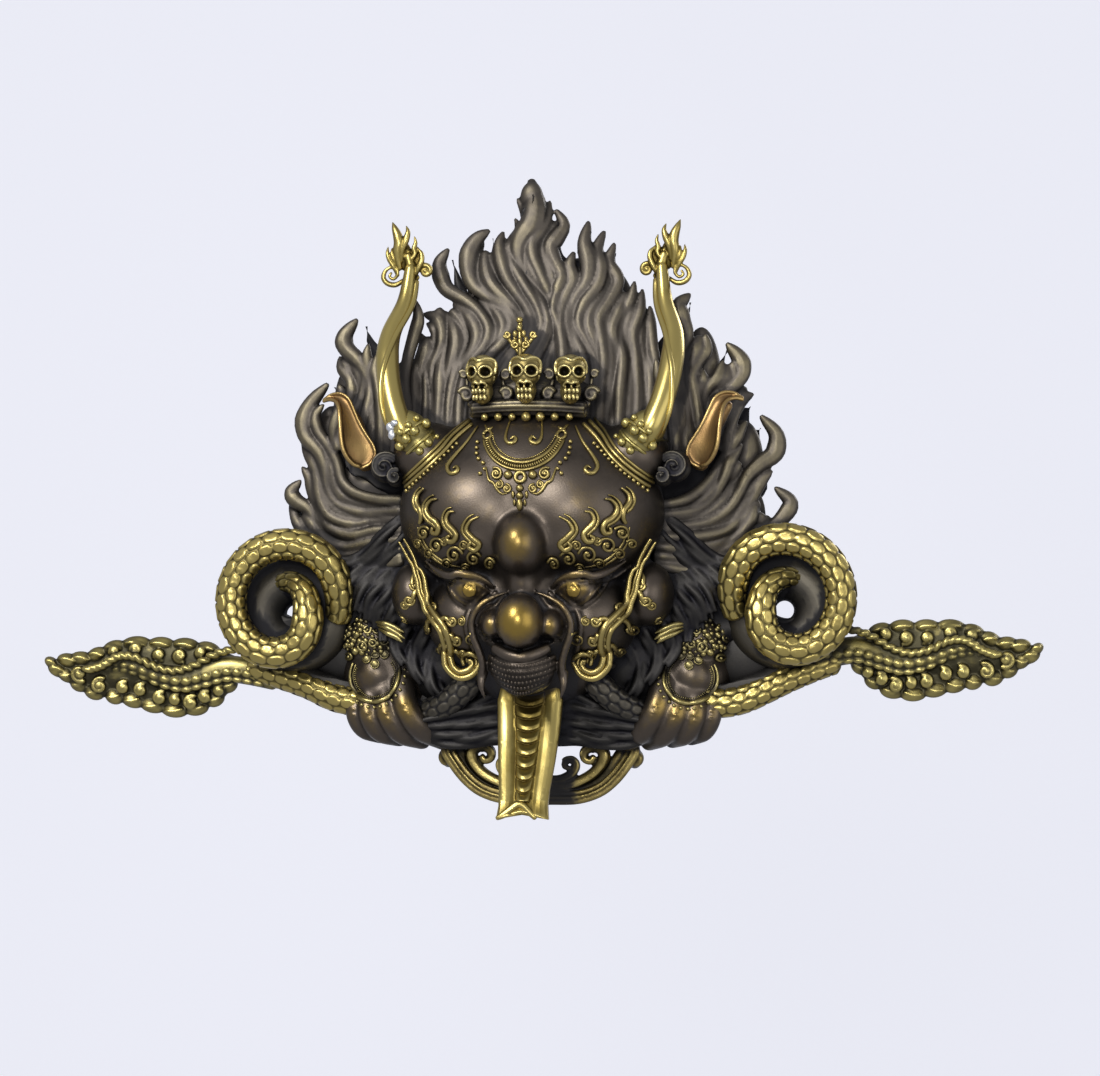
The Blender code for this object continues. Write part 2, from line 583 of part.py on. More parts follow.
def metal(name, colour, roughness):
    """A cast metal finish."""
    material = bpy.data.materials.new(name)
    material.use_nodes = True
    shader = material.node_tree.nodes["Principled BSDF"]
    shader.inputs["Base Color"].default_value = (*colour, 1)
    shader.inputs["Metallic"].default_value = 0.9
    shader.inputs["Roughness"].default_value = roughness
    return material


def new_piece(name, shape):
    """A piece of the plaque, made from the closed shapes that shape() adds."""
    bm = bmesh.new()
    shape(bm)
    mesh = bpy.data.meshes.new(name)
    bm.to_mesh(mesh)
    bm.free()
    piece = bpy.data.objects.new(name, mesh)
    parts.objects.link(piece)
    return piece


def new_cutter(name, shape):
    """A guide that is only cut away or joined on, and isn't a piece."""
    cutter = new_piece(name, shape)
    parts.objects.unlink(cutter)
    cutters.objects.link(cutter)
    cutter.hide_render = True
    cutter.display_type = "WIRE"
    return cutter


def add_boolean(piece, tool, operation):
    """Cut or join one piece with another."""
    step = piece.modifiers.new(tool.name, "BOOLEAN")
    step.operation = operation
    step.object = tool


def add_union(piece, name, shape):
    """Join one more closed shape to a piece."""
    add_boolean(piece, new_cutter(f"{piece.name}_{name}", shape), "UNION")


def fill_pinholes(mesh):
    """Fill the bubbles that the fused shapes trap in the metal: closed shells that face inwards."""
    bm = bmesh.new()
    bm.from_mesh(mesh)
    waiting = set(bm.faces)
    bubbles = []
    while waiting:
        shell = [waiting.pop()]
        for face in shell:
            for edge in face.edges:
                for near in edge.link_faces:
                    if near in waiting:
                        waiting.remove(near)
                        shell.append(near)
        if sum(face.calc_center_median().dot(face.normal) * face.calc_area() for face in shell) < 0:
            bubbles += shell
    bmesh.ops.delete(bm, geom=bubbles, context="FACES")
    bm.to_mesh(mesh)
    bm.free()


def build_casting():
    """The one casting: head, mane, ears, crown, hands, snakes and bracket, open behind the head."""

    def shapes(bm):
        add_mane(bm)
        add_head(bm)
        add_forehead_jewel(bm)
        add_crown(bm)
        add_ears(bm)
        add_hands(bm)
        add_snakes(bm)
        add_bracket(bm)

    clay = new_piece("clay", shapes)
    fuse = clay.modifiers.new("fuse", "REMESH")
    fuse.mode = "VOXEL"
    fuse.voxel_size = GRAIN
    evaluated = clay.evaluated_get(bpy.context.evaluated_depsgraph_get())
    fused = bpy.data.meshes.new_from_object(evaluated)
    fill_pinholes(fused)
    triangles = sum(len(face.vertices) - 2 for face in fused.polygons)
    bpy.data.objects.remove(clay)
    casting = bpy.data.objects.new("mask_casting", fused)
    parts.objects.link(casting)
    thin = casting.modifiers.new("facets", "DECIMATE")
    thin.ratio = CASTING_TRIANGLES / triangles
    return casting


def behind_the_wall(bm):
    """Everything that lies behind the wall plane."""
    depth, reach = 0.2, 2.0
    place = Matrix.Translation((0, depth / 2, 0)) @ Matrix.Diagonal((reach, depth, reach, 1))
    bmesh.ops.create_cube(bm, size=1, matrix=place)


def hollow(bm):
    """The open back of the head, which follows the skull at the wall's thickness."""
    x, z, out = 66 * FACE - WALL, 76 * FACE_UP - WALL, 98 * FACE_OUT - WALL
    centre = on_face(0, -28, 0)
    blob(bm, centre, x, z, out, 3)


def main():
    """Build the four pieces."""
    casting = build_casting()
    horns = [build_horn(name, side) for name, side in (("horn_left", -1), ("horn_right", 1))]
    tongue = build_tongue()
    add_boolean(casting, new_cutter("wall_plane", behind_the_wall), "DIFFERENCE")
    add_boolean(casting, new_cutter("hollow_back", hollow), "DIFFERENCE")
    for name, side in (("left", -1), ("right", 1)):
        add_boolean(casting, new_cutter(f"horn_seat_{name}", lambda bm, s=side: sweep(
            bm, horn_path(s), horn_thickness, horn_thickness, 10, CLEARANCE * 1.1)), "DIFFERENCE")
    add_boolean(casting, new_cutter("tongue_seat", lambda bm: loft(bm, tongue_sections(CLEARANCE * 1.1))),
                "DIFFERENCE")
    casting.data.materials.append(metal("patinated_bronze", (0.16, 0.12, 0.07), 0.45))
    for horn in horns:
        horn.data.materials.append(metal("polished_brass_horn", (0.55, 0.42, 0.14), 0.28))
    tongue.data.materials.append(metal("polished_brass_tongue", (0.50, 0.38, 0.12), 0.32))


for old in list(bpy.data.objects):
    bpy.data.objects.remove(old)
parts = bpy.data.collections.new("guardian_mask_plaque")
cutters = bpy.data.collections.new("cutters")
for group in (parts, cutters):
    bpy.context.scene.collection.children.link(group)
main()
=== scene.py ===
# A cast bronze guardian-face plaque: the finished metal and its fine carving
import math

import bmesh
import bpy
import numpy as np
from mathutils import Matrix, Vector
from mathutils.bvhtree import BVHTree


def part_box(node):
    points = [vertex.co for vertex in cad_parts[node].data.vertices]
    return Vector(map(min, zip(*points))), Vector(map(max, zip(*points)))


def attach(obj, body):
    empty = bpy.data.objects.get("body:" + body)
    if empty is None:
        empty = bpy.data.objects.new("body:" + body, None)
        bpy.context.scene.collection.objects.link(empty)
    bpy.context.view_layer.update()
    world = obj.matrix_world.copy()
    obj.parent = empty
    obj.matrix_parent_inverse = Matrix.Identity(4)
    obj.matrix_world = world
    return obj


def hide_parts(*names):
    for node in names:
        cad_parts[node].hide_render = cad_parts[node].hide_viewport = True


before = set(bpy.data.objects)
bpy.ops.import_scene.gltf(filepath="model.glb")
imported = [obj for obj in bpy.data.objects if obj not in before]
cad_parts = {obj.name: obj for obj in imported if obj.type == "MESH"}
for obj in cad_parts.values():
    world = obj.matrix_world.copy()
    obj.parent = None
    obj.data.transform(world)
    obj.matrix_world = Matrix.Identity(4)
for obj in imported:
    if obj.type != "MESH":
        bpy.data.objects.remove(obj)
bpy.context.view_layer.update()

# Everything is modelled on a flat sheet in millimetres: x across, y up, z out from the wall
sheet = {
    "span": 659.2,  # the plaque's width on the sheet, tail tip to tail tip
    "weld": 1e-3,  # points closer than this become one
}
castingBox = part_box("mask_casting")
millimetre = (castingBox[1][0] - castingBox[0][0]) / sheet["span"]
toFrame = Matrix.Rotation(math.pi / 2, 4, "X") @ Matrix.Scale(millimetre, 4)
toSheet = toFrame.inverted()
sides = (-1, 1)
pieces = []


def meshOf(bm, name="work"):
    mesh = bpy.data.meshes.new(name)
    bm.to_mesh(mesh)
    bm.free()
    return mesh


def join(bm, mesh):
    bm.from_mesh(mesh)
    bpy.data.meshes.remove(mesh)


def smoothLine(points, count):
    # a Catmull-Rom line through rows of numbers: places first, then any sizes that go with them
    points = np.array(points, float)
    ends = np.vstack((2 * points[0] - points[1], points, 2 * points[-1] - points[-2]))
    place = np.linspace(0, len(points) - 1, count)
    k = np.minimum(place.astype(int), len(points) - 2)
    t = (place - k)[:, None]
    a, b, c, d = ends[k], ends[k + 1], ends[k + 2], ends[k + 3]
    return (2 * b + (c - a) * t + (2 * a - 5 * b + 4 * c - d) * t ** 2 + (3 * b - a - 3 * c + d) * t ** 3) / 2


def unit(rows, least=1e-9):
    # each row as a direction; least keeps a row of no length from dividing by zero
    return rows / (np.linalg.norm(rows, axis=1, keepdims=True) + least)


def graded(count, places, sizes):
    # one size for each of that many points along a line, given at a few places between 0 and 1
    return np.interp(np.linspace(0, 1, count), places, sizes)


def level(flat, out, side=1):
    # a flat line on its side of the face, stood out at one height, or at a height for each point
    return np.column_stack((mirror(flat, side), np.broadcast_to(out, len(flat))))


def scroll(x, y, big, small, start, turns, count=18):
    # a flat curl that rolls in round its centre, counted in whole turns
    t = np.linspace(0, 1, count)
    angle = np.radians(start) + turns * 2 * math.pi * t
    radius = big + (small - big) * t ** 0.8
    return np.column_stack((x + radius * np.cos(angle), y + radius * np.sin(angle)))


def skin(bm, grid):
    # a grid of places, rows along and columns round, welded into one closed skin
    rows, columns = grid.shape[:2]
    work = bmesh.new()
    bmesh.ops.create_grid(work, x_segments=columns - 1, y_segments=rows - 1, size=1)
    mesh = meshOf(work)
    mesh.vertices.foreach_set("co", grid.reshape(-1).astype(np.float32))
    work = bmesh.new()
    work.from_mesh(mesh)
    bpy.data.meshes.remove(mesh)
    bmesh.ops.remove_doubles(work, verts=work.verts, dist=sheet["weld"])
    bmesh.ops.recalc_face_normals(work, faces=work.faces)
    join(bm, meshOf(work))


cap = {"reach": (0.75, 1.0), "size": (0.68, 0.0)}  # the two rings that round off a tube's end


def tube(bm, line, size, flat=1.0, facets=10, ridges=0, groove=0.0, spin=0.0, blunt=0.6):
    # sweeps an oval or grooved section along a line; size is the half width at each point
    line = np.asarray(line, float)
    size = np.broadcast_to(np.asarray(size, float), len(line))
    along = unit(np.gradient(line, axis=0))
    across = unit(np.cross(along, (0.0, 0.0, 1.0)))
    lift = np.cross(across, along)
    start = [line[0] - along[0] * size[0] * blunt * share for share in cap["reach"]]
    end = [line[-1] + along[-1] * size[-1] * blunt * share for share in cap["reach"]]
    line = np.vstack((start[::-1], line, end))
    across, lift = (np.pad(way, ((2, 2), (0, 0)), mode="edge") for way in (across, lift))
    rounded = np.array(cap["size"])
    size = np.concatenate((rounded[::-1] * size[0], size, rounded * size[-1]))
    angle = np.linspace(0, 2 * math.pi, facets + 1)
    wave = 1 + groove * np.cos(ridges * angle + spin)
    ring = np.column_stack((np.cos(angle) * wave, np.sin(angle) * wave * flat))
    ring[-1] = ring[0]
    grid = (line[:, None] + across[:, None] * ring[None, :, :1] * size[:, None, None]
            + lift[:, None] * ring[None, :, 1:] * size[:, None, None])
    skin(bm, grid)


def capped(grid):
    # closes a grid at both ends with a row drawn in to one point
    first, last = (np.broadcast_to(row.mean(1, keepdims=True), row.shape) for row in (grid[:1], grid[-1:]))
    return np.concatenate((first, grid, last))


def blob(bm, x, y, out, rx, ry, ro, detail=3, turn=0.0):
    place = Matrix.Translation((x, y, out)) @ Matrix.Rotation(math.radians(turn), 4, "Z")
    place = place @ Matrix.Diagonal((rx, ry, ro, 1))
    bmesh.ops.create_icosphere(bm, subdivisions=detail, radius=1, matrix=place)


def masses(bm, rows):
    # round masses as across, up, out and three radii; those off the middle come in pairs
    for x, *rest in rows:
        for side in sides if x else (1,):
            blob(bm, x * side, *rest, 4)


def worked(holder, name):
    # the mesh as its modifiers leave it, in place of the scratch object
    bpy.context.scene.collection.objects.link(holder)
    mesh = bpy.data.meshes.new_from_object(holder.evaluated_get(bpy.context.evaluated_depsgraph_get()))
    old = holder.data
    bpy.data.objects.remove(holder)
    bpy.data.meshes.remove(old)
    mesh.name = name
    return mesh


def fuse(bm, voxel, soften=2, factor=0.5, displace=0.0):
    # melts overlapping shapes into one skin, as the wax did before the bronze was poured
    holder = bpy.data.objects.new("work", meshOf(bm))
    melt = holder.modifiers.new("melt", "REMESH")
    melt.mode = "VOXEL"
    melt.voxel_size = voxel
    if displace:
        shift = holder.modifiers.new("shift", "DISPLACE")
        shift.strength = displace
        shift.mid_level = 0
    if soften:
        wax = holder.modifiers.new("wax", "SMOOTH")
        wax.factor = factor
        wax.iterations = soften
    out = bmesh.new()
    join(out, worked(holder, "work"))
    return out


def treeOf(bm):
    return BVHTree.FromBMesh(bm)


def mirror(line, side):
    line = np.array(line, float)
    line[:, 0] *= side
    return line


def shifted(flat, amount):
    # a flat line moved sideways, for the second ridge of a doubled strand
    along = unit(np.gradient(flat, axis=0))
    return flat + np.column_stack((-along[:, 1], along[:, 0])) * amount


def tapered(count, start, middle, end):
    return graded(count, (0, 0.35, 0.75, 1), (start, middle, middle, end))


def arcLine(x, y, radius, start, end, count):
    angle = np.radians(np.linspace(start, end, count))
    return np.column_stack((x + radius * np.cos(angle), y + radius * np.sin(angle)))


def wire(bm, surface, points, half, side=1, lift=0.4, count=22, apart=0.0, ends=0.45):
    # a raised line on the carving; apart doubles it
    flat = smoothLine(points, count)
    for offset in (-apart, apart) if apart else (0,):
        line = laid(surface, shifted(flat, offset), lift, side)
        tube(bm, line, tapered(count, half * ends, half, half * ends), 0.9, 8)


def hoop(bm, surface, x, y, radius, half, lift, side, count=17):
    # a closed ring on the carving
    tube(bm, laid(surface, arcLine(x, y, radius, 0, 360, count), lift, side), half, 1, 8, blunt=0.1)


def curlOn(bm, surface, x, y, radius, half, start, turns, side=1, lift=0.4):
    # a spiral on the carving with a grain at its heart
    flat = scroll(x, y, radius, half, start, turns, 20)
    tube(bm, laid(surface, flat, lift, side), np.linspace(half * 0.8, half, 20), 0.9, 8)
    grain(bm, surface, x, y, half * 1.35, side, half * 0.6)


def grain(bm, surface, x, y, radius, side=1, lift=0.3, stretch=1.0, turn=0.0, detail=2):
    spot = laid(surface, [(x, y)], lift, side)[0]
    blob(bm, *spot, radius, radius * stretch, radius * 0.9, detail, turn * side)


def press(bm, points, radius, depth, floor=-1e9):
    # pushes the surface back round some places, as a modelling tool would
    spots = np.asarray(points, float)
    mesh = bpy.data.meshes.new("work")
    bm.to_mesh(mesh)
    co = np.empty(len(mesh.vertices) * 3, np.float32)
    mesh.vertices.foreach_get("co", co)
    co = co.reshape(-1, 3)
    near = np.flatnonzero(co[:, 2] > floor)
    far = np.min(np.linalg.norm(co[near, None, :2] - spots[None, :, :2], axis=2), axis=1) / radius
    share = np.clip(1 - far, 0, 1)
    co[near, 2] -= depth * share * share * (3 - 2 * share)
    mesh.vertices.foreach_set("co", co.reshape(-1))
    bm.clear()
    join(bm, mesh)


mostTriangles = {  # what a piece may keep once the triangles that carry no form are dropped
    "guardian_head": 140000, "flame_crest": 85000, "dark_locks": 50000, "flame_mane": 48000,
    "snake": 38000, "tail": 34000, "crown_scrolls": 25000, "chin_scroll": 25000, "ribbed_tongue": 25000,
    "casting_back": 25000, "ears": 22000, "hand": 22000, "horn_collars": 20000, "polished_horn": 20000,
    "hand_jewels": 18000, "ear_scrolls": 12000, "coil_cups": 12000, "other": 40000,
}


def thinned(bm, most):
    # merges triangles where the form is plain, down to the most that a piece may have
    bmesh.ops.triangulate(bm, faces=bm.faces)
    count = len(bm.faces)
    if count <= most:
        return bm
    holder = bpy.data.objects.new("work", meshOf(bm))
    holder.modifiers.new("thin", "DECIMATE").ratio = most / count
    thin = bmesh.new()
    join(thin, worked(holder, "work"))
    return thin


def addPiece(name, bm, look, node="mask_casting"):
    bmesh.ops.transform(bm, matrix=toFrame, verts=bm.verts)
    kind = name.removesuffix("_left").removesuffix("_right")
    mesh = meshOf(thinned(bm, mostTriangles.get(kind, mostTriangles["other"])), name)
    mesh.shade_smooth()
    piece = bpy.data.objects.new(name, mesh)
    bpy.context.scene.collection.objects.link(piece)
    mesh.materials.append(metal[look])
    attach(piece, "root")
    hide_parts(node)
    pieces.append(piece)
    print(f"{name}: {sum(len(f.vertices) - 2 for f in mesh.polygons)} triangles")
    return piece


# The head: broad masses first, then the lids, folds and rows of the muzzle pressed into them
head = {
    "masses": (
        (0, -112, 50, 84, 62, 61), (26, -118, 56, 60, 52, 58), (66, -82, 60, 24, 22, 30),
        (30, -134, 66, 44, 28, 46), (38, -186, 54, 31, 31, 41), (0, -178, 56, 52, 44, 46),
        (0, -163, 80, 15, 24, 29), (0, -138, 98, 18.6, 22, 31), (0, -139, 82, 28, 30, 29),
        (76, -171, 54, 16, 21, 25), (0, -208, 40, 53, 36, 40), (0, -212, 80, 22, 20, 34),
        (0, -222, 94, 19.5, 13, 18), (0, -152, 20, 74, 76, 62), (20, -188, 84, 14, 17, 20),
    ),
    "firm": (  # rounder forms that keep a clean edge
        (0, -187.5, 113, 15.2, 18.2, 17.5), (0, -187, 98, 14, 16, 20), (34, -167, 91, 14, 9.6, 14),
        (18.6, -190, 95, 9.4, 11, 18),
    ),
    "nostril": ((22, -198.5), (15, -201), (8, -203.5), (0, -206)),
    "hole": ((17, -199), (12, -200.5)), "massVoxel": 1.6, "firmVoxel": 1.17, "voxel": 0.9,
    "lipFloor": 95,  # only what stands further out than this is pressed under the nose
    "back": 20,
}


def buildHead():
    bm = bmesh.new()
    masses(bm, head["masses"])
    bm = fuse(bm, head["massVoxel"], 24)
    masses(bm, head["firm"])
    bm = fuse(bm, head["firmVoxel"], 5)
    surface = treeOf(bm)
    for side in sides:
        addEye(bm, surface, side)
        addFold(bm, surface, side)
    addMuzzle(bm)
    bm = fuse(bm, head["voxel"], 1)
    for side in sides:
        press(bm, smoothLine(mirror(head["nostril"], side), 16), 2.4, 5, head["lipFloor"])
        press(bm, smoothLine(mirror(head["hole"], side), 5), 3.4, 7, head["lipFloor"])
    cutOff(bm, (0, 0, head["back"]), (0, 0, -1))
    return bm


def cutOff(bm, place, way):
    # saws off what lies beyond a plane and closes the cut
    everything = [*bm.verts, *bm.edges, *bm.faces]
    bmesh.ops.bisect_plane(bm, geom=everything, plane_co=place, plane_no=way, clear_outer=True)
    bmesh.ops.holes_fill(bm, edges=[e for e in bm.edges if e.is_boundary], sides=0)


def laid(surface, flatLine, lift, side=1):
    # drops a flat line onto a surface, and stands it that much proud
    line = []
    for x, y in np.asarray(flatLine)[:, :2]:
        hit, normal, _, _ = surface.ray_cast(Vector((x * side, y, 200)), Vector((0, 0, -1)))
        line.append(hit + normal * lift if hit else (line[-1] if line else Vector((x * side, y, 30))))
    line = np.array([tuple(p) for p in line])
    if len(line) > 8:
        line[2:-2, 2] = np.convolve(line[:, 2], (0.1, 0.2, 0.4, 0.2, 0.1), "valid")
    return line


eye = {
    "upper": ((64, -149), (55, -155), (47, -158), (37, -158.6), (27, -161), (19, -166.4)),
    "upperOut": (86, 96, 104, 107, 104, 99),  # the lid stands at least this far out
    "crease": 4.0,  # above the lid
    "lower": ((49.5, -160), (45.6, -168), (38.5, -175), (29, -177.6), (22, -176), (17, -170)),
    "lowerRims": ((1.0, 0.8, 1.6), (1.3, 0.5, 1.3)),  # how much larger, how proud, half width
    "centre": (35, -166), "pupil": (33.2, -168.2),
}


def addEye(bm, surface, side):
    upper = smoothLine(eye["upper"], 24)
    line = laid(surface, upper, 1.0, side)
    least = smoothLine([(out,) for out in eye["upperOut"]], 24)[:, 0]
    line[:, 2] = np.maximum(line[:, 2], least)
    tube(bm, line, graded(24, (0, 0.25, 0.7, 1), (0.8, 2.6, 2.8, 1.2)), 0.8)
    crease = laid(surface, shifted(upper, eye["crease"]), 1.2, side)
    tube(bm, crease, tapered(24, 0.6, 1.5, 0.8), 0.8)
    for grow, proud, half in eye["lowerRims"]:
        lower = (smoothLine(eye["lower"], 24) - eye["centre"]) * grow + eye["centre"]
        tube(bm, laid(surface, lower, proud, side), half, 0.9, 8)
    x, y = eye["pupil"]
    blob(bm, x * side, y, 103.4, 3.9, 3.9, 2.6, 3)
    tube(bm, laid(surface, arcLine(x, y, 3.6, 0, 355, 17), 1.0, side), 0.7, 1, 6)


# The fold from the inner eye past the nose to the jaw, the rim of the nostril, and the fang below
cheek = {
    "fold": (
        (9, -169.5), (17, -172.5), (25.5, -178), (30.8, -187), (30.6, -196), (27.6, -205.5), (25, -214),
        (25.6, -222),
    ),
    "foldOut": ((0, 0.3, 0.6, 1), (104, 107, 104, 99)),
    "foldHalf": ((0, 0.2, 0.6, 1), (0.9, 2.0, 2.6, 2.4)),
    "second": 5.4,  # how far the outer fold lies from the first
    "wing": ((24.5, -200.5), (27.3, -194), (26.6, -186), (22, -179.6), (16, -177.4)),
    "fang": ((25.6, -220, 98), (26.4, -229, 100), (24.0, -238, 98.5)),
    "fangHalf": (3.8, 0.5),
}


def addFold(bm, surface, side):
    fold = smoothLine(cheek["fold"], 40)
    line = laid(surface, fold, 0.9, side)
    line[:, 2] = np.maximum(line[:, 2], graded(40, *cheek["foldOut"]))
    tube(bm, line, graded(40, *cheek["foldHalf"]), 1.1)
    outer = shifted(fold, cheek["second"])[6:34]
    tube(bm, laid(surface, outer, 0.7, side), tapered(28, 0.6, 1.9, 0.8), 0.9)
    wing = smoothLine(cheek["wing"], 20)
    tube(bm, laid(surface, wing, 0.6, side), tapered(20, 0.8, 1.5, 0.6), 0.9)
    tube(bm, smoothLine(mirror(cheek["fang"], side), 9), np.linspace(*cheek["fangHalf"], 9), 0.8, 10)


muzzle = {
    "rows": (  # half width, up, out: the lip first, then the grained rows, which tighten towards the chin
        (16.5, -210.4, 116), (20.5, -216.2, 116.4), (21.2, -219.8, 116.2), (20.6, -223.3, 115.4),
        (19, -226.8, 113.8), (16.4, -230.2, 111.4), (12.4, -233.4, 108),
    ),
    "lip": (3.8, 0.8), "row": (1.9, 1.0),  # half width, how flat
    "smile": 6, "bend": 14 / 20 ** 2,  # how far the ends of a row turn up and back
    "grain": (0.8, 1.15, 1.0),
}


def muzzleRow(row, count):
    half, up, out = row
    across = np.linspace(-1, 1, count)
    up = up + muzzle["smile"] * across ** 2
    return np.column_stack((across * half, up, out - muzzle["bend"] * (across * half) ** 2))


def addMuzzle(bm):
    for k, row in enumerate(muzzle["rows"]):
        tube(bm, muzzleRow(row, 33) - (0, 0, 1.2), *muzzle["row" if k else "lip"], 10)


def buildMuzzleGrains():
    bm = bmesh.new()
    for k, row in enumerate(muzzle["rows"][1:]):
        for x, y, out in muzzleRow(row, 20 - k)[1:-1]:
            blob(bm, x, y + 0.2, out + 0.5, *muzzle["grain"], 2)
    return bm


# The flame mane: guide strands from root to tip, as (across, up), with strands between them filled in
crest = {
    "guides": (
        ((-79, -66), (-79, -44), (-80, -30), (-77, -18), (-75, -8), (-76, -2)),
        ((-71, -66), (-71, -44), (-72, -26), (-68, -12), (-67, -3), (-69, 2), (-73, 5)),
        ((-66, -66), (-66, -44), (-68, -26), (-63, -11), (-62, -1), (-66, 8), (-75, 11)),
        ((-48, -66), (-48, -44), (-43, -24), (-33, -10), (-31, 1), (-38, 12), (-48, 20), (-60, 27),
         (-65, 36), (-66, 45), (-61, 53)),
        ((-38, -66), (-38, -44), (-31, -20), (-21, -8), (-16, 3), (-22, 14), (-33, 22), (-42, 29),
         (-46, 39), (-46, 51), (-41, 60), (-34, 65)),
        ((-26, -66), (-26, -44), (-16, -20), (-6, -8), (-2, 3), (-6, 14), (-14, 25), (-20, 34), (-24, 45),
         (-26, 56), (-24, 64)),
        ((-16, -66), (-16, -44), (-8, -22), (1, -8), (4, 4), (0, 16), (-7, 27), (-14, 38), (-19, 48),
         (-18, 58), (-14, 66), (-16, 73)),
        ((-8, -66), (-8, -44), (-2, -22), (5, -8), (8, 5), (4, 17), (-4, 29), (-12, 41), (-16, 51),
         (-14, 61), (-9, 70), (-11, 79), (-15, 86)),
        ((0, -66), (0, -44), (2, -22), (8, -6), (10, 7), (6, 18), (-1, 28), (-9, 39), (-13, 50), (-11, 60),
         (-5, 69), (-3, 80), (-6, 97)),
        ((8, -66), (8, -44), (9, -22), (13, -8), (13, 4), (11, 14), (7, 25), (2, 36), (-3, 47), (-4, 57),
         (1, 66), (5, 74), (6, 84)),
        ((16, -66), (16, -44), (15, -22), (15, -7), (14, 4), (11, 14), (13, 25), (16, 35), (11, 45),
         (8, 54), (12, 61), (16, 69), (11, 78)),
        ((22, -66), (22, -44), (19, -22), (18, -10), (16, 1), (16, 12), (19, 22), (23, 32), (21, 42),
         (23, 50)),
        ((34, -66), (34, -44), (32, -20), (26, -6), (22, 8), (25, 20), (32, 31), (33, 44), (30, 57),
         (32, 70)),
        ((42, -66), (42, -44), (40, -22), (34, -9), (28, 4), (31, 17), (39, 28), (41, 40), (38, 52),
         (42, 64)),
        ((44, -66), (44, -44), (45, -22), (43, -7), (41, 7), (48, 20), (52, 32), (46, 44), (49, 56)),
        ((56, -66), (56, -44), (57, -20), (54, -5), (56, 8), (61, 20), (63, 31)),
        ((67, -66), (67, -44), (65, -18), (63, -3), (67, 11), (68, 26)),
        ((78, -66), (79, -44), (79, -28), (76, -12), (74, 3), (73, 15)),
    ),
    "lobes": (  # half width near each tip
        3.0, 3.0, 5.0, 6.0, 6.6, 5.0, 3.8, 4.0, 8.4, 5.0, 6.0, 5.2, 6.0, 5.4, 5.0, 4.0, 4.0, 4.0,
    ),
    "notches": (  # where the outline cuts in between one tip and the next
        (-74, -4), (-70, 2), (-69, 14), (-46, 26), (-29, 57), (-18, 62), (-17, 72), (-12, 84), (2, 80),
        (8, 78), (18, 43), (28, 46), (39, 63), (46, 55), (62, 29), (66, 24), (72, 12),
    ),
    "backing": (
        (-5.6, 87, 18.4, 7.6, 10.6, 5.2), (0, -12, 31, 66, 40, 10), (-10, 24, 20, 38, 30, 9),
        (-4, 50, 16, 12, 26, 7), (30, 16, 20, 32, 32, 9),
    ),
    "root": 46, "fall": 0.27, "dome": 9, "across": 72, "low": -20,
}
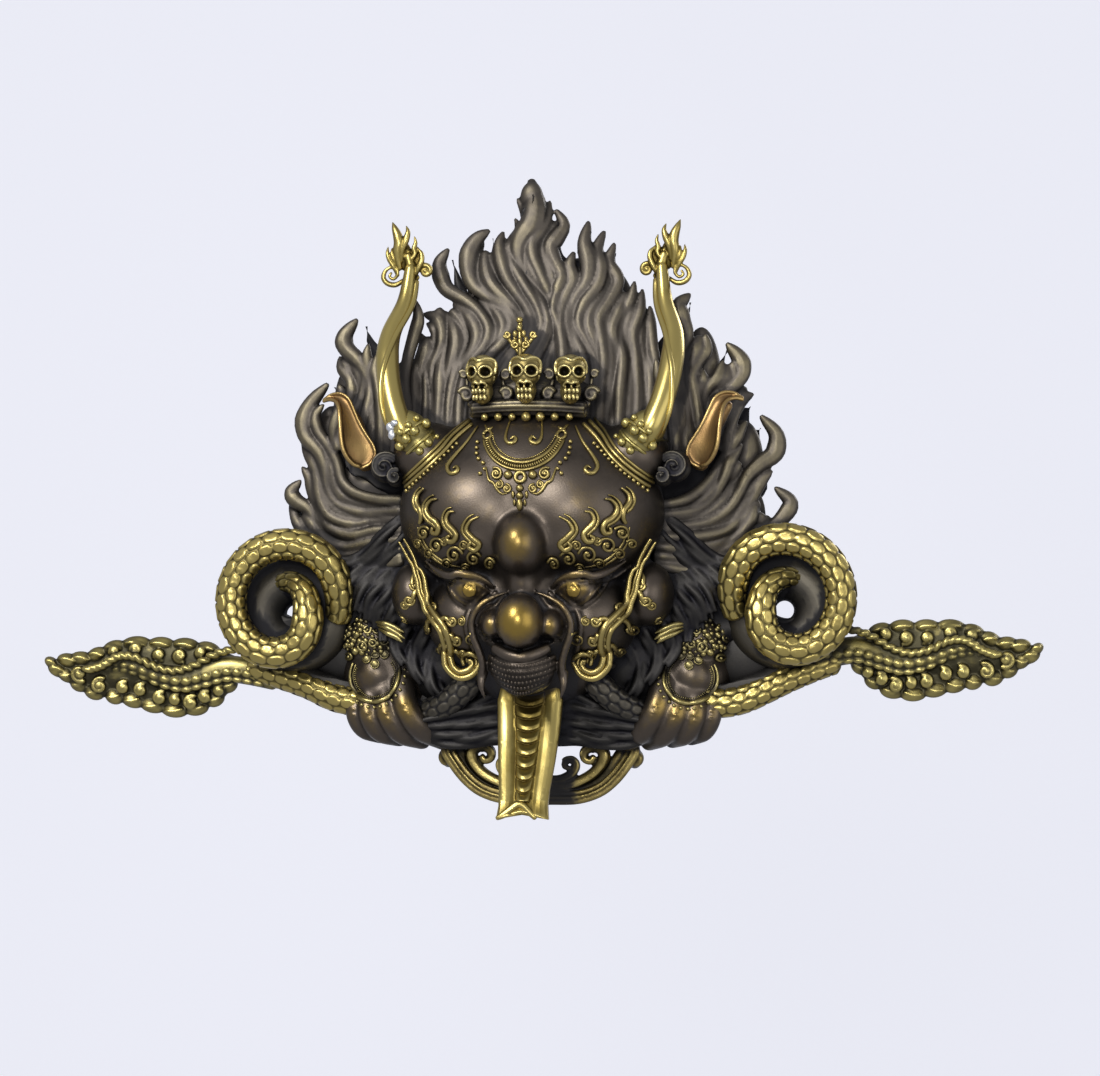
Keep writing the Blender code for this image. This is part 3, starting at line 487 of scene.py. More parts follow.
manes = {
    -1: {
        "guides": (
            ((-80, -92), (-80, -72), (-82, -54), (-85, -36), (-84, -20), (-80, -4), (-77, 8), (-79, 19)),
            ((-86, -92), (-86, -72), (-87, -56), (-89, -42), (-90, -30), (-89, -22)),
            ((-93, -92), (-92, -72), (-91, -56), (-92, -44), (-94, -34), (-97, -27), (-96, -19)),
            ((-101, -92), (-101, -72), (-101, -56), (-102, -44), (-104, -33), (-106, -25), (-104, -15)),
            ((-115, -74), (-112, -56), (-109, -42), (-110, -30), (-112, -19), (-111, -9)),
            ((-122, -74), (-121, -58), (-116, -46), (-113, -36), (-113, -27), (-118, -19), (-127, -10),
             (-127, -2), (-120, 7)),
            ((-128, -76), (-129, -62), (-126, -51), (-122, -41), (-123, -32), (-129, -24), (-131, -17)),
            ((-134, -76), (-134, -62), (-130, -50), (-129, -41), (-131, -35)),
            ((-88, -110), (-101, -110), (-118, -106), (-128, -98), (-132, -86), (-137, -76), (-145, -65),
             (-147, -55), (-142, -48)),
            ((-88, -117), (-102, -118), (-117, -118), (-131, -113), (-138, -103), (-140, -91), (-144, -79),
             (-153, -69), (-155, -58), (-150, -46), (-140, -35)),
            ((-88, -124), (-106, -124), (-121, -126), (-136, -121), (-143, -110), (-145, -99), (-147, -88),
             (-152, -80), (-156, -73)),
            ((-88, -130), (-105, -130), (-121, -133), (-136, -128), (-144, -116), (-149, -105), (-151, -96),
             (-156, -89)),
            ((-88, -136), (-111, -138), (-126, -141), (-139, -136), (-147, -126), (-152, -116),
             (-160, -111), (-164, -105), (-158, -98)),
            ((-88, -142), (-108, -145), (-127, -149), (-142, -143), (-153, -133), (-160, -124),
             (-165, -113)),
            ((-88, -150), (-108, -153), (-126, -157), (-140, -152), (-150, -142), (-158, -133)),
        ),
        "lobes": (4.6, 3.6, 4.2, 4.4, 4.0, 6.4, 4.6, 4.0, 4.2, 6.6, 4.8, 4.6, 5.6, 4.6, 4.0),
        "notches": (
            (-87, -24), (-90, -30), (-100, -24), (-108, -19), (-115, -11), (-129, -16), (-125, -35), None,
            (-147, -52), (-154, -72), (-148, -88), (-150, -106), (-161, -120), (-163, -122),
        ),
        "backing": ((-110, -118, 22, 42, 34, 9), (-122, -52, 19, 15, 34, 9), (-138, -78, 16, 14, 30, 8)),
    },
    1: {
        "guides": (
            ((85, -92), (84, -72), (82, -56), (82, -42), (80, -30), (79, -20)),
            ((92, -92), (92, -72), (90, -56), (88, -42), (86, -28), (87, -15)),
            ((100, -76), (99, -60), (97, -45), (94, -30), (94, -16), (98, -4), (95, 6), (93, 15), (99, 22)),
            ((106, -76), (106, -58), (104, -43), (102, -31), (105, -21), (110, -13), (110, -4)),
            ((110, -76), (109, -60), (106, -46), (108, -35), (109, -27)),
            ((114, -76), (110, -60), (109, -48), (112, -38), (118, -31), (121, -21)),
            ((120, -76), (113, -60), (115, -48), (125, -40), (133, -30), (132, -20), (124, -10)),
            ((124, -82), (124, -72), (127, -61), (130, -52), (134, -45), (140, -42)),
            ((80, -114), (98, -110), (111, -100), (119, -88), (125, -78), (131, -69), (136, -60)),
            ((80, -120), (103, -117), (115, -108), (122, -96), (126, -85), (133, -75)),
            ((80, -127), (98, -127), (113, -124), (125, -116), (132, -105), (137, -95), (145, -87),
             (154, -80), (155, -68), (146, -57)),
            ((80, -134), (104, -134), (123, -130), (133, -120), (139, -110), (145, -99), (152, -92)),
            ((80, -140), (98, -142), (116, -141), (130, -134), (139, -123), (142, -113)),
            ((80, -146), (100, -148), (118, -148), (135, -141), (149, -131), (159, -122), (164, -112),
             (155, -103)),
            ((80, -153), (104, -156), (124, -155), (140, -149), (152, -139), (160, -129)),
        ),
        "lobes": (3.4, 4.0, 6.4, 5.0, 4.2, 4.4, 6.4, 4.4, 4.2, 4.6, 6.6, 4.8, 4.4, 5.8, 4.0),
        "notches": (
            (83, -24), (92, -18), (108, -2), (106, -25), (110, -34), (122, -20), (135, -37), None,
            (134, -72), (137, -86), (150, -90), (143, -108), (146, -116), (157, -124),
        ),
        "backing": ((106, -120, 22, 42, 34, 9), (106, -42, 22, 14, 44, 9), (132, -86, 17, 14, 28, 8)),
    },
    "root": 47, "fall": 0.30, "inner": 85, "climb": 0.10, "low": -70,
}
strand = {
    "steps": 36, "facets": 20,
    "pitch": 5.0,  # between strand ridges
    "proud": 1.0,  # a guide over the strands beside it
    "ridges": 9, "groove": 0.05, "flat": 0.74, "waver": 1.1, "voxel": 0.85,
}


def crestDepth(x, y):
    return crest["root"] - crest["fall"] * (y - crest["low"]) - crest["dome"] * (x / crest["across"]) ** 2


def maneDepth(x, y):
    return (manes["root"] - manes["fall"] * np.maximum(np.abs(x) - manes["inner"], 0)
            - manes["climb"] * np.maximum(y - manes["low"], 0))


def addStrand(bm, flatLine, half, depth, proud, seed):
    wave = np.sin(np.linspace(0, 7.5, len(flatLine)) + seed * 1.7) * strand["waver"]
    out = depth(flatLine[:, 0], flatLine[:, 1]) + proud + wave
    tube(bm, level(flatLine, out), half, strand["flat"], strand["facets"], strand["ridges"], strand["groove"],
         spin=seed * 2.4, blunt=0.9)


def buildFlames(flames, depth):
    # thick guide strands with thinner ones between them, cut short at the notches and melted together
    bm = bmesh.new()
    t = np.linspace(0, 1, strand["steps"])
    lines = [smoothLine(guide, strand["steps"]) for guide in flames["guides"]]
    gaps = [np.linalg.norm(a - b, axis=1) for a, b in zip(lines, lines[1:])]
    for k, line in enumerate(lines):
        near = [gaps[i] for i in (k - 1, k) if 0 <= i < len(gaps)]
        pitch = np.clip(np.min(near, axis=0), 5, 8) / 2
        tip = np.clip((t - 0.5) / 0.3, 0, 1)
        half = pitch * 0.95 * (1 - tip) + flames["lobes"][k] * tip
        half *= np.sqrt(np.clip((1.01 - t) / (0.1 if flames["lobes"][k] > 7 else 0.2), 0, 1)) * 0.88 + 0.12
        addStrand(bm, line, half, depth, strand["proud"], k)
    for k, (a, b, notch) in enumerate(zip(lines, lines[1:], flames["notches"])):
        if not notch:
            continue
        count = int(np.clip(round(np.percentile(gaps[k], 60) / strand["pitch"]) - 1, 1, 4))
        for i in range(1, count + 1):
            share = i / (count + 1)
            line = a * (1 - share) + b * share
            last = max(int(np.argmin(np.linalg.norm(line - notch, axis=1))) - 2, 8)
            line = line[:last]
            half = np.clip(gaps[k][:last] / (count + 1) * 0.8, 2.6, 5.2)
            half *= np.sqrt(np.clip((last - np.arange(last)) / 5, 0, 1)) * 0.5 + 0.5
            addStrand(bm, line, half, depth, -0.5 * (i % 2), k + share * 9)
    for row in flames["backing"]:
        blob(bm, *row, 4)
    return fuse(bm, strand["voxel"], 3)


# What closes the back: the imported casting's own mass, melted a little smaller than the carving over it
core = {"voxel": 2.0, "shrink": -2.4, "reach": 172, "floor": -262, "front": 36, "flat": 4.2}


def buildCore():
    bm = bmesh.new()
    bm.from_mesh(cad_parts["mask_casting"].data)
    bmesh.ops.transform(bm, matrix=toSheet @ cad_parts["mask_casting"].matrix_world, verts=bm.verts)
    bmesh.ops.remove_doubles(bm, verts=bm.verts, dist=sheet["weld"])
    cuts = (((core["reach"], 0, 0), (1, 0, 0)), ((-core["reach"], 0, 0), (-1, 0, 0)),
            ((0, core["floor"], 0), (0, -1, 0)), ((0, 0, core["front"]), (0, 0, 1)))
    for place, way in cuts:
        cutOff(bm, place, way)
    bm = fuse(bm, core["voxel"], 3, displace=core["shrink"])
    for vert in bm.verts:
        if vert.co.z < core["flat"]:
            vert.co.z = 0
    return bm


# The crown: three skulls over a band of beads, with scrolls between and a finial on the middle skull
crown = {
    "skulls": ((0, -27.5), (-28.2, -28), (28.2, -28)),
    "skullMasses": ((0, 0, 0, 10.2, 10.3, 9.5), (0, -4.5, 1, 8.6, 6.5, 8.8), (0, -13, 1, 6.8, 8.8, 7.6)),
    "socket": (4.4, -0.9, 3.5), "nostril": (2, -10.3), "teeth": ((1.25, 3.6), (-13.2, -17.2)),
    "turn": 0.45,  # degrees that a skull turns away for each mm off the middle
    "out": 84, "voxel": 0.45, "arch": 0.006,
    "bands": (  # up, half width, how proud
        (-49.4, 0.9, 0.6), (-52, 1.7, 1), (-54.6, 0.9, 0.6), (-50.5, 3.2, -3), (-55, 3.4, -3.6),
    ),
    "scrolls": (  # which way it rolls, across, up, radius, half width; the other side mirrors it
        (1, -14, -30.5, 3.6, 1.5), (-1, -13.5, -42.6, 4.2, 1.7), (-1, -42.5, -29.8, 2.6, 1.2),
        (-1, -40.5, -43, 5.0, 1.9),
    ),
    "beads": (2.5, 2.7, 2.5, 3.2, 3.1, 2.7, 2.5), "beadPitch": 9.1, "beadHeight": -57.6,
    "lines": (  # half width, how proud, points along it, and half of its course; the rest mirrors it
        (1.15, 0.5, 40, ((-9.3, -2), (-9.5, 3), (-7.6, 6.4), (-4, 7.4), (0, 5.9))),
        (1.05, 0.6, 24, ((-4.5, -10.4), (-4.1, -8.2), (-2.3, -7.3), (0, -8.1))),
        (0.9, 0.2, 40, ((-8.8, -4), (-7.4, -9.5), (-6.9, -14), (-5, -19.6), (0, -21.8))),
    ),
    "finial": (  # across, up, radius, how much taller than wide
        (-4.6, 4.4, 2.2, 1), (-4.6, -0.8, 1.8, 1.4), (-7.4, -4.6, 1.5, 1.6), (-1.8, -4.4, 1.5, 1.6),
        (-4.2, -10, 1.5, 2.0),
    ),
    "finialCurls": (  # across, up, radius, start, turns
        (-7.4, -11.4, 2.8, 90, 1.2), (-12.6, -5, 2.2, 200, 1.2), (-1.0, -11.4, 2.8, 90, -1.2),
        (4.2, -5, 2.2, -20, -1.2),
    ),
    "finialStems": (-12, -8, -4.2, -0.4, 3.6),
}


def buildSkull():
    bm = bmesh.new()
    masses(bm, crown["skullMasses"])
    bm = fuse(bm, crown["voxel"], 3)
    surface = treeOf(bm)
    for half, lift, count, course in crown["lines"]:
        wire(bm, surface, [*course, *[(-x, y) for x, y in course[-2::-1]]], half, 1, lift, count, 0, 0.8)
    x, y, radius = crown["socket"]
    for side in sides:
        hoop(bm, surface, x, y, radius, 1.0, 0.6, side, 21)
        for across in crown["teeth"][0]:
            for up in crown["teeth"][1]:
                grain(bm, surface, across, up, 1.15, side, 0.5, 1.65, 0, 3)
    bm = fuse(bm, crown["voxel"], 1)
    press(bm, [(x, y), (-x, y)], 3.4, 4.5, 2)
    x, y = crown["nostril"]
    press(bm, [(x, y), (-x, y)], 1.7, 3, 2)
    return bm


def buildSkulls():
    skull = meshOf(buildSkull())
    bm = bmesh.new()
    for x, y in crown["skulls"]:
        copy = bmesh.new()
        copy.from_mesh(skull)
        lean = Matrix.Rotation(math.radians(x * crown["turn"]), 4, "Y")
        place = Matrix.Translation((x, y, crown["out"] - abs(x) * 0.12)) @ lean
        bmesh.ops.transform(copy, matrix=place, verts=copy.verts)
        join(bm, meshOf(copy))
    bpy.data.meshes.remove(skull)
    return bm


def buildCrown():
    bm = bmesh.new()
    blob(bm, 0, -42, 64, 42, 13, 12, 4)
    across = np.linspace(-36, 36, 31)
    out = crown["out"] - 1 - across ** 2 * crown["arch"]
    for y, half, proud in crown["bands"]:
        arch = y + 1.4 - across ** 2 * 0.0011
        tube(bm, np.column_stack((across, arch, out + proud)), half, 1, 10)
    curls = [(row[0] * side, row[1] * side, *row[2:]) for row in crown["scrolls"] for side in (1, -1)]
    for lean, x, y, radius, half in curls:
        proud = 80 - abs(x) * 0.2
        flat = scroll(x, y, radius, 1.3, 90 - 70 * lean, 1.4 * lean, 24)
        tube(bm, level(flat, proud), np.linspace(half, half * 0.75, 24), 1.2, 8)
        blob(bm, x, y, proud, half, half, half, 3)
        stem = smoothLine([(x * 0.9, -50), (x - 2 * lean, y - radius - 1), (x - radius * lean, y)], 10)
        tube(bm, level(stem, proud - 1.5), half * 0.9, 1, 8)
    return fuse(bm, 0.6, 1)


def buildCrownGrains():
    bm = bmesh.new()
    for k, radius in zip(range(-3, 4), crown["beads"]):
        x = k * crown["beadPitch"]
        out = crown["out"] - x * x * crown["arch"] - 0.2
        blob(bm, x, crown["beadHeight"], out, radius, radius, radius, 3)
    for x, y, radius, tall in crown["finial"]:
        blob(bm, x, y, 81 - 0.12 * y, radius, radius * tall, radius, 3)
    for x, y, radius, start, turns in crown["finialCurls"]:
        tube(bm, level(scroll(x, y, radius, 0.9, start, turns, 18), 81), 1.05, 1, 8)
    for x in crown["finialStems"]:
        stem = smoothLine([(-4.2, -18), ((x - 4.2) / 2, -12.5), (x, -6.5 - abs(x + 4.2) * 0.1)], 10)
        tube(bm, level(stem, 79.6), 1.3, 1, 8)
    tube(bm, [(-4.2, -20, 82), (-4.3, -12, 80), (-4.5, 3, 79.5)], 1.6, 1, 8)
    return bm


# The forehead: a crescent pendant with its rosette and drop, bands of beads to each side, and small hooks
jewel = {
    "bottom": -65.3, "outer": 26.8, "inner": 23.3, "reach": (197, 343), "rosette": (0, -96.6, 3.0),
    "grain": 1.5,
    "stones": (  # across, up, radius, how much taller than wide
        (7.8, -95.2, 2.4, 1.0), (13.4, -101.3, 1.2, 1.0), (8.4, -103.9, 1.3, 1.0), (4.3, -107.6, 1.0, 2.2),
        (3.3, -112.6, 0.9, 2.2), (26, -94.4, 1.2, 1.0), (29.7, -74.3, 1.2, 1), (29.7, -78, 1.2, 1),
        (29.4, -81.5, 1.2, 1), (27.8, -84.9, 1.2, 1), (24.6, -87.6, 1.2, 1), (23.5, -91.5, 1.0, 1),
    ),
    "drop": ((-103.6, 2.2, 1.0), (-108.2, 2.2, 1.0), (-114, 1.9, 1.9)),
    "innerHook": (
        (10.3, -60.5), (11.4, -68), (11.2, -72.5), (8.8, -75), (5.6, -74.4), (4.6, -72.4), (6, -71),
        (8, -72.2),
    ),
    "outerHook": (
        (31.4, -64), (36.8, -73.5), (42.6, -81), (46.6, -86.6), (47.9, -90.6), (45.8, -94), (42.2, -93.8),
        (40.6, -91.6), (42, -89.8), (44, -91),
    ),
    "band": ((37, -61.5), (45.7, -69.8), (54.8, -80.6), (64.5, -90.2), (74.2, -97.9), (79, -101)),
    "bandGrains": ((44, -75), (60.4, -91), (77.4, -104.8)),
    "bandCount": 14,
    "curls": (
        (15.6, -94.6, 4.2, 1.3, 60, 1.35), (13.4, -101.3, 2.8, 1.05, 100, 1.2),
        (8.4, -103.9, 3.0, 1.1, 80, 1.2),
    ),
    "swag": (
        (22.6, -90), (21.4, -94.5), (20, -98.6), (17, -100.4), (14.6, -104.4), (11, -107.2), (6.6, -106),
    ),
    "link": (23.7, -69.6, 2.6), "loop": ((26.8, -63), (24, -66), (21, -64.5)),
}


def buildJewel(surface):
    bm = bmesh.new()
    start, end = jewel["reach"]
    for rise, radius, half in ((0, jewel["outer"], 0.8), (1.2, jewel["inner"], 0.85)):
        rim = arcLine(0, jewel["bottom"] + rise, radius, start, end, 24)
        wire(bm, surface, rim, half * 1.45, 1, 0.7, 48, 0, 0.8)
    for angle in np.linspace(start + 3, end - 3, 44):
        spot = arcLine(0, jewel["bottom"] + 0.5, jewel["outer"] - 1.7, angle, angle, 1)[0]
        grain(bm, surface, *spot, 1.7, 1, 0.5, 0.5, angle)
    for angle in np.linspace(start - 4, end + 4, 46):
        spot = arcLine(0, jewel["bottom"] + 1.2, jewel["inner"] - 2.3, angle, angle, 1)[0]
        grain(bm, surface, *spot, 0.75, 1, 0.2, 1, 0, 2)
    x, y, radius = jewel["rosette"]
    wire(bm, surface, arcLine(x, y, radius, 0, 360, 17), 1.5, 1, 1.0, 28, 0, 1)
    for y, radius, tall in jewel["drop"]:
        grain(bm, surface, 0, y, radius * 1.15, 1, 1.4, tall, 0, 3)
    for side in sides:
        for x, y, radius, tall in jewel["stones"]:
            grain(bm, surface, x, y, radius * 1.25, side, 0.8, tall, 0, 3 if radius > 2 else 2)
        for curl in jewel["curls"]:
            curlOn(bm, surface, *curl, side, 0.8)
        wire(bm, surface, jewel["swag"], 1.1, side, 0.6)
        wire(bm, surface, jewel["innerHook"], 1.35, side, 0.6, 30)
        wire(bm, surface, jewel["outerHook"], 1.5, side, 0.7, 36)
        hoop(bm, surface, *jewel["link"], 1.1, 0.7, side)
        wire(bm, surface, jewel["loop"], 1.2, side)
        wire(bm, surface, jewel["band"], 1.5, side, 0.9, 34, 1.7, 0.9)
        wire(bm, surface, shifted(smoothLine(jewel["band"], 12), 4.6), 1.1, side, 0.4, 34, 0, 0.9)
        for spot in smoothLine(jewel["bandGrains"], jewel["bandCount"]):
            grain(bm, surface, *spot, jewel["grain"], side, 0.4)
    return bm


# Brow flames: a row of doubled tongues that end in spirals, over combed hair
brow = {
    "flames": (
        ((25.7, -121.4), (31.1, -124.2), (33.8, -129.8), (30.2, -134.6), (25.8, -138.6), (28.7, -142),
         (32.6, -140), (31, -137.3)),
        ((41.6, -118.2), (44.9, -118.8), (46.8, -122.7), (45.5, -126.5), (42.3, -129.7), (40.3, -132.9),
         (41.6, -136.4), (44.9, -137), (46.4, -134.8), (44.6, -133.5)),
        ((53.6, -110.5), (57, -111.2), (59.9, -114.5), (60.3, -118.2), (57.8, -122), (53.9, -124.6),
         (51.9, -128.2), (53, -131.6), (56.3, -131.2), (56.2, -128.3)),
        ((62.7, -103.8), (66.4, -107.3), (67.6, -111.1), (66.5, -114.3), (64.3, -117.5), (63.8, -122),
         (65.2, -125.4)),
    ),
    "spirals": (  # across, up, radius, where it starts
        (63, -131.5, 4.2, 150), (54.2, -139.6, 4.8, 160), (42.6, -145.2, 5.2, 170),
        (30.4, -147.6, 4.6, 160), (20.4, -150.6, 3.8, 170), (48.6, -150.6, 3.2, 160),
        (60.6, -144.6, 3.2, 150), (68, -138.4, 2.8, 150), (36, -139.6, 2.8, 170), (48.4, -137.4, 2.6, 160),
        (36.6, -153.4, 2.8, 150),
    ),
    "comb": ((67.5, -128), (65, -139), (57, -148), (47, -153.6), (37, -155.4)),
}


def buildBrow(surface):
    bm = bmesh.new()
    for side in sides:
        for flame in brow["flames"]:
            flat = smoothLine(flame, 40)
            tube(bm, laid(surface, flat, 1.5, side), tapered(40, 0.7, 2.0, 1.3), 1, 10)
            part = shifted(flat[2:29], 2.6)
            tube(bm, laid(surface, part, 1.0, side), tapered(27, 0.5, 1.5, 0.5), 1, 8)
        for x, y, radius, start in brow["spirals"]:
            curlOn(bm, surface, x, y, radius * 1.12, 1.3 if radius > 3.5 else 1.05, start, -1.25, side, 1.2)
        for k in range(2):
            comb = shifted(smoothLine(brow["comb"], 20), 0.6 - 2.1 * k)
            tube(bm, laid(surface, comb[: 20 - k], 0.0, side), tapered(20 - k, 0.4, 1.1, 0.4), 1, 8)
    return bm


# Whisker scrolls down each cheek, doubled, with small hooks springing off them
whisker = {
    "line": (
        (79.5, -136), (76.5, -141), (72.6, -149), (71.2, -157), (69.6, -163), (68.4, -170), (64.3, -178),
        (58.5, -185.1), (53, -191.1), (50.4, -197.1), (49.6, -204), (50.6, -210.4), (48.2, -217),
        (42.2, -221.6), (35.6, -220), (32.6, -214.6), (35, -209.8), (39.2, -210.6), (38.6, -214.2),
    ),
    "hooks": (  # where each leaves the strand, its knee and its curl
        ((71, -157), (74.2, -160.5), (74.8, -165.5), 1), ((69, -167), (73, -170), (74.5, -174.5), -1),
        ((66, -173), (62.5, -174.5), (61.5, -178.8), 1), ((58, -186), (63, -188.5), (64, -193), -1),
        ((55, -189), (50.5, -186), (47.6, -187.6), 1), ((50.4, -199), (47, -196.4), (45.4, -199.5), 1),
        ((50, -203), (54.5, -203), (56.2, -207), -1), ((50.4, -211), (46, -206), (43.2, -207.8), 1),
        ((47, -218), (52.4, -216.6), (54, -221), -1),
    ),
    "half": 2.2, "apart": 2.1, "least": 78,
    "curls": (  # loose ones beside the strand
        (34.5, -199.4, 4.6), (84, -190, 4.2), (80, -178, 3.4), (40, -188, 3.2),
    ),
}


def buildWhiskers(surface):
    bm = bmesh.new()
    for side in sides:
        flat = smoothLine(whisker["line"], 90)
        sizes = tapered(90, 0.7, whisker["half"], 1.3)
        for offset, lift in ((-whisker["apart"], 2.2), (whisker["apart"], 1.6), (0, 0.4)):
            line = laid(surface, shifted(flat, offset), lift, side)
            line[:, 2] = np.maximum(line[:, 2], whisker["least"] + lift)
            tube(bm, line, sizes, 1, 12)
        for root, knee, curl, turn in whisker["hooks"]:
            hook = smoothLine((root, knee, curl), 10)
            tube(bm, laid(surface, hook, 1.3, side), tapered(10, 2.0, 1.8, 1.4), 1, 10)
            x, y = curl
            start = 10 if turn > 0 else 170
            curlOn(bm, surface, x - 2 * turn, y - 0.4, 3.3, 1.25, start, -1.2 * turn, side, 1.3)
        for x, y, radius in whisker["curls"]:
            curlOn(bm, surface, x, y, radius, 1.0, 90, 1.5, side, 0.2)
    return bm


# Bead collars round the foot of each horn, and the lump of solder on the left one
collar = {
    "beads": (  # across, up, radius
        (79.9, -67.2, 2.2), (74.7, -63, 2.2), (70.4, -58.8, 2.0), (66.4, -55.6, 1.9), (84.4, -79.4, 2.6),
        (80.6, -75.6, 3.1), (76.1, -71.2, 3.2), (71.1, -66.7, 3.2), (65.4, -62.2, 3.1), (60.4, -59, 2.5),
        (56.6, -56.6, 2.3), (62.7, -74, 2.7), (67.9, -79.1, 2.6), (72.7, -84.3, 2.5), (75.9, -88, 2.0),
        (78, -91.4, 1.9), (58.3, -70.4, 1.7), (54.8, -67.2, 1.6), (52, -64.6, 1.6),
    ),
    "boss": ((76, -66, 79, 15, 12, 13), (70, -74, 76, 17, 13, 14)),
    "ridges": (
        ((88, -73), (82, -70.5), (75, -66), (67, -60.5), (60, -55)),
        ((86, -84), (79, -82.5), (72, -77.4), (64, -70.5), (57, -63)),
    ),
    "solder": (
        (-86.4, -64, 91, 3.2, 3.4, 2.8), (-85.6, -69, 91, 2.6, 3.6, 2.6), (-83.6, -61.4, 93, 2.6, 2.2, 2.2),
    ),
}


def buildCollars():
    bm = bmesh.new()
    for side in sides:
        for x, y, out, rx, ry, ro in collar["boss"]:
            blob(bm, x * side, y, out, rx, ry, ro, 4, 40 * side)
    boss = fuse(bm, 0.9, 6)
    surface = treeOf(boss)
    for side in sides:
        for x, y, radius in collar["beads"]:
            grain(boss, surface, x, y, radius * 1.08, side, radius * 0.35, 1, 0, 3)
        for line in collar["ridges"]:
            wire(boss, surface, line, 1.2, side, 0.5, 22, 0, 0.8)
    return boss


def buildSolder():
    bm = bmesh.new()
    for row in collar["solder"]:
        blob(bm, *row, 3)
    return fuse(bm, 0.5, 1)


# Ears: a rolled rim round a smooth belly, with a spiral at the root
ear = {
    "inner": (
        (136.4, -45.4, 57), (131, -42.0, 58), (124.4, -41.6, 60), (119, -45, 62), (115.6, -51.6, 63),
        (111.8, -60, 64), (107.2, -68, 64), (102.6, -75, 64), (101.2, -81, 64), (104.4, -87, 65),
        (110.4, -90, 66),
    ),
    "outer": (
        (136.6, -46.4, 57), (132, -45.4, 59), (127.6, -46.6, 62), (124.8, -50.6, 66), (123.6, -56.4, 69),
        (122.8, -63, 71), (122.2, -70, 72), (121, -77, 72), (118.4, -83, 71), (114.6, -87.4, 69),
        (111, -88.8, 67),
    ),
    "hollow": 1.6, "thick": 5, "voxel": 0.6,
    "behind": ((108, -88, 56), (112, -76, 52), (118, -60, 52), (126, -49, 52)),
    "scrolls": ((93.6, -89, 8.4, 2.9, 150, -1.35, 74), (86.4, -95.4, 4.6, 1.9, 120, -1.2, 78)),
    "scrollRidges": ((0, 1, 0), (-0.7, 0.3, 0.8), (0.7, 0.3, 0.8)),  # shares of the scroll's half width
}


def buildEars():
    # a smooth hollow leaf with a bright rolled rim
    bm = bmesh.new()
    inner, outer = smoothLine(ear["inner"], 44), smoothLine(ear["outer"], 44)
    share = np.concatenate((np.linspace(0, 1, 15), np.linspace(1, 0, 8)))[None, :, None]
    front = (np.arange(23) < 15)[None, :]
    grid = inner[:, None] * (1 - share) + outer[:, None] * share
    wide = np.linalg.norm(outer - inner, axis=1)[:, None]
    dip = np.sin(math.pi * share[:, :, 0]) * np.minimum(wide / 10, 1)
    grid[:, :, 2] += np.where(front, -ear["hollow"] * dip, -ear["thick"] - ear["hollow"] * dip)
    grid = capped(np.concatenate((grid, grid[:, :1]), axis=1))
    for side in sides:
        skin(bm, grid * (side, 1, 1))
        tube(bm, mirror(outer, side), tapered(44, 1.2, 1.6, 1.4), 1, 12)
        tube(bm, mirror(inner, side), tapered(44, 1.0, 1.1, 1.2), 1, 10)
        tube(bm, mirror(smoothLine(ear["behind"], 14), side), tapered(14, 6, 6.4, 4), 0.8, 14)
    return fuse(bm, ear["voxel"], 1)


def buildEarScrolls():
    bm = bmesh.new()
    for side in sides:
        for x, y, radius, half, start, turns, out in ear["scrolls"]:
            flat = mirror(scroll(x, y, radius, 1.0, start, turns, 34), side)
            for offset, size, proud in np.array(ear["scrollRidges"]) * half:
                line = level(shifted(flat, offset), np.linspace(out - 3, out + 1, 34) + proud)
                tube(bm, line, np.linspace(size, size * 0.6, 34), 1.1, 12)
            blob(bm, x * side, y, out - 9, radius + 2.2, radius + 2.2, 8, 3)
    return fuse(bm, ear["voxel"], 1)


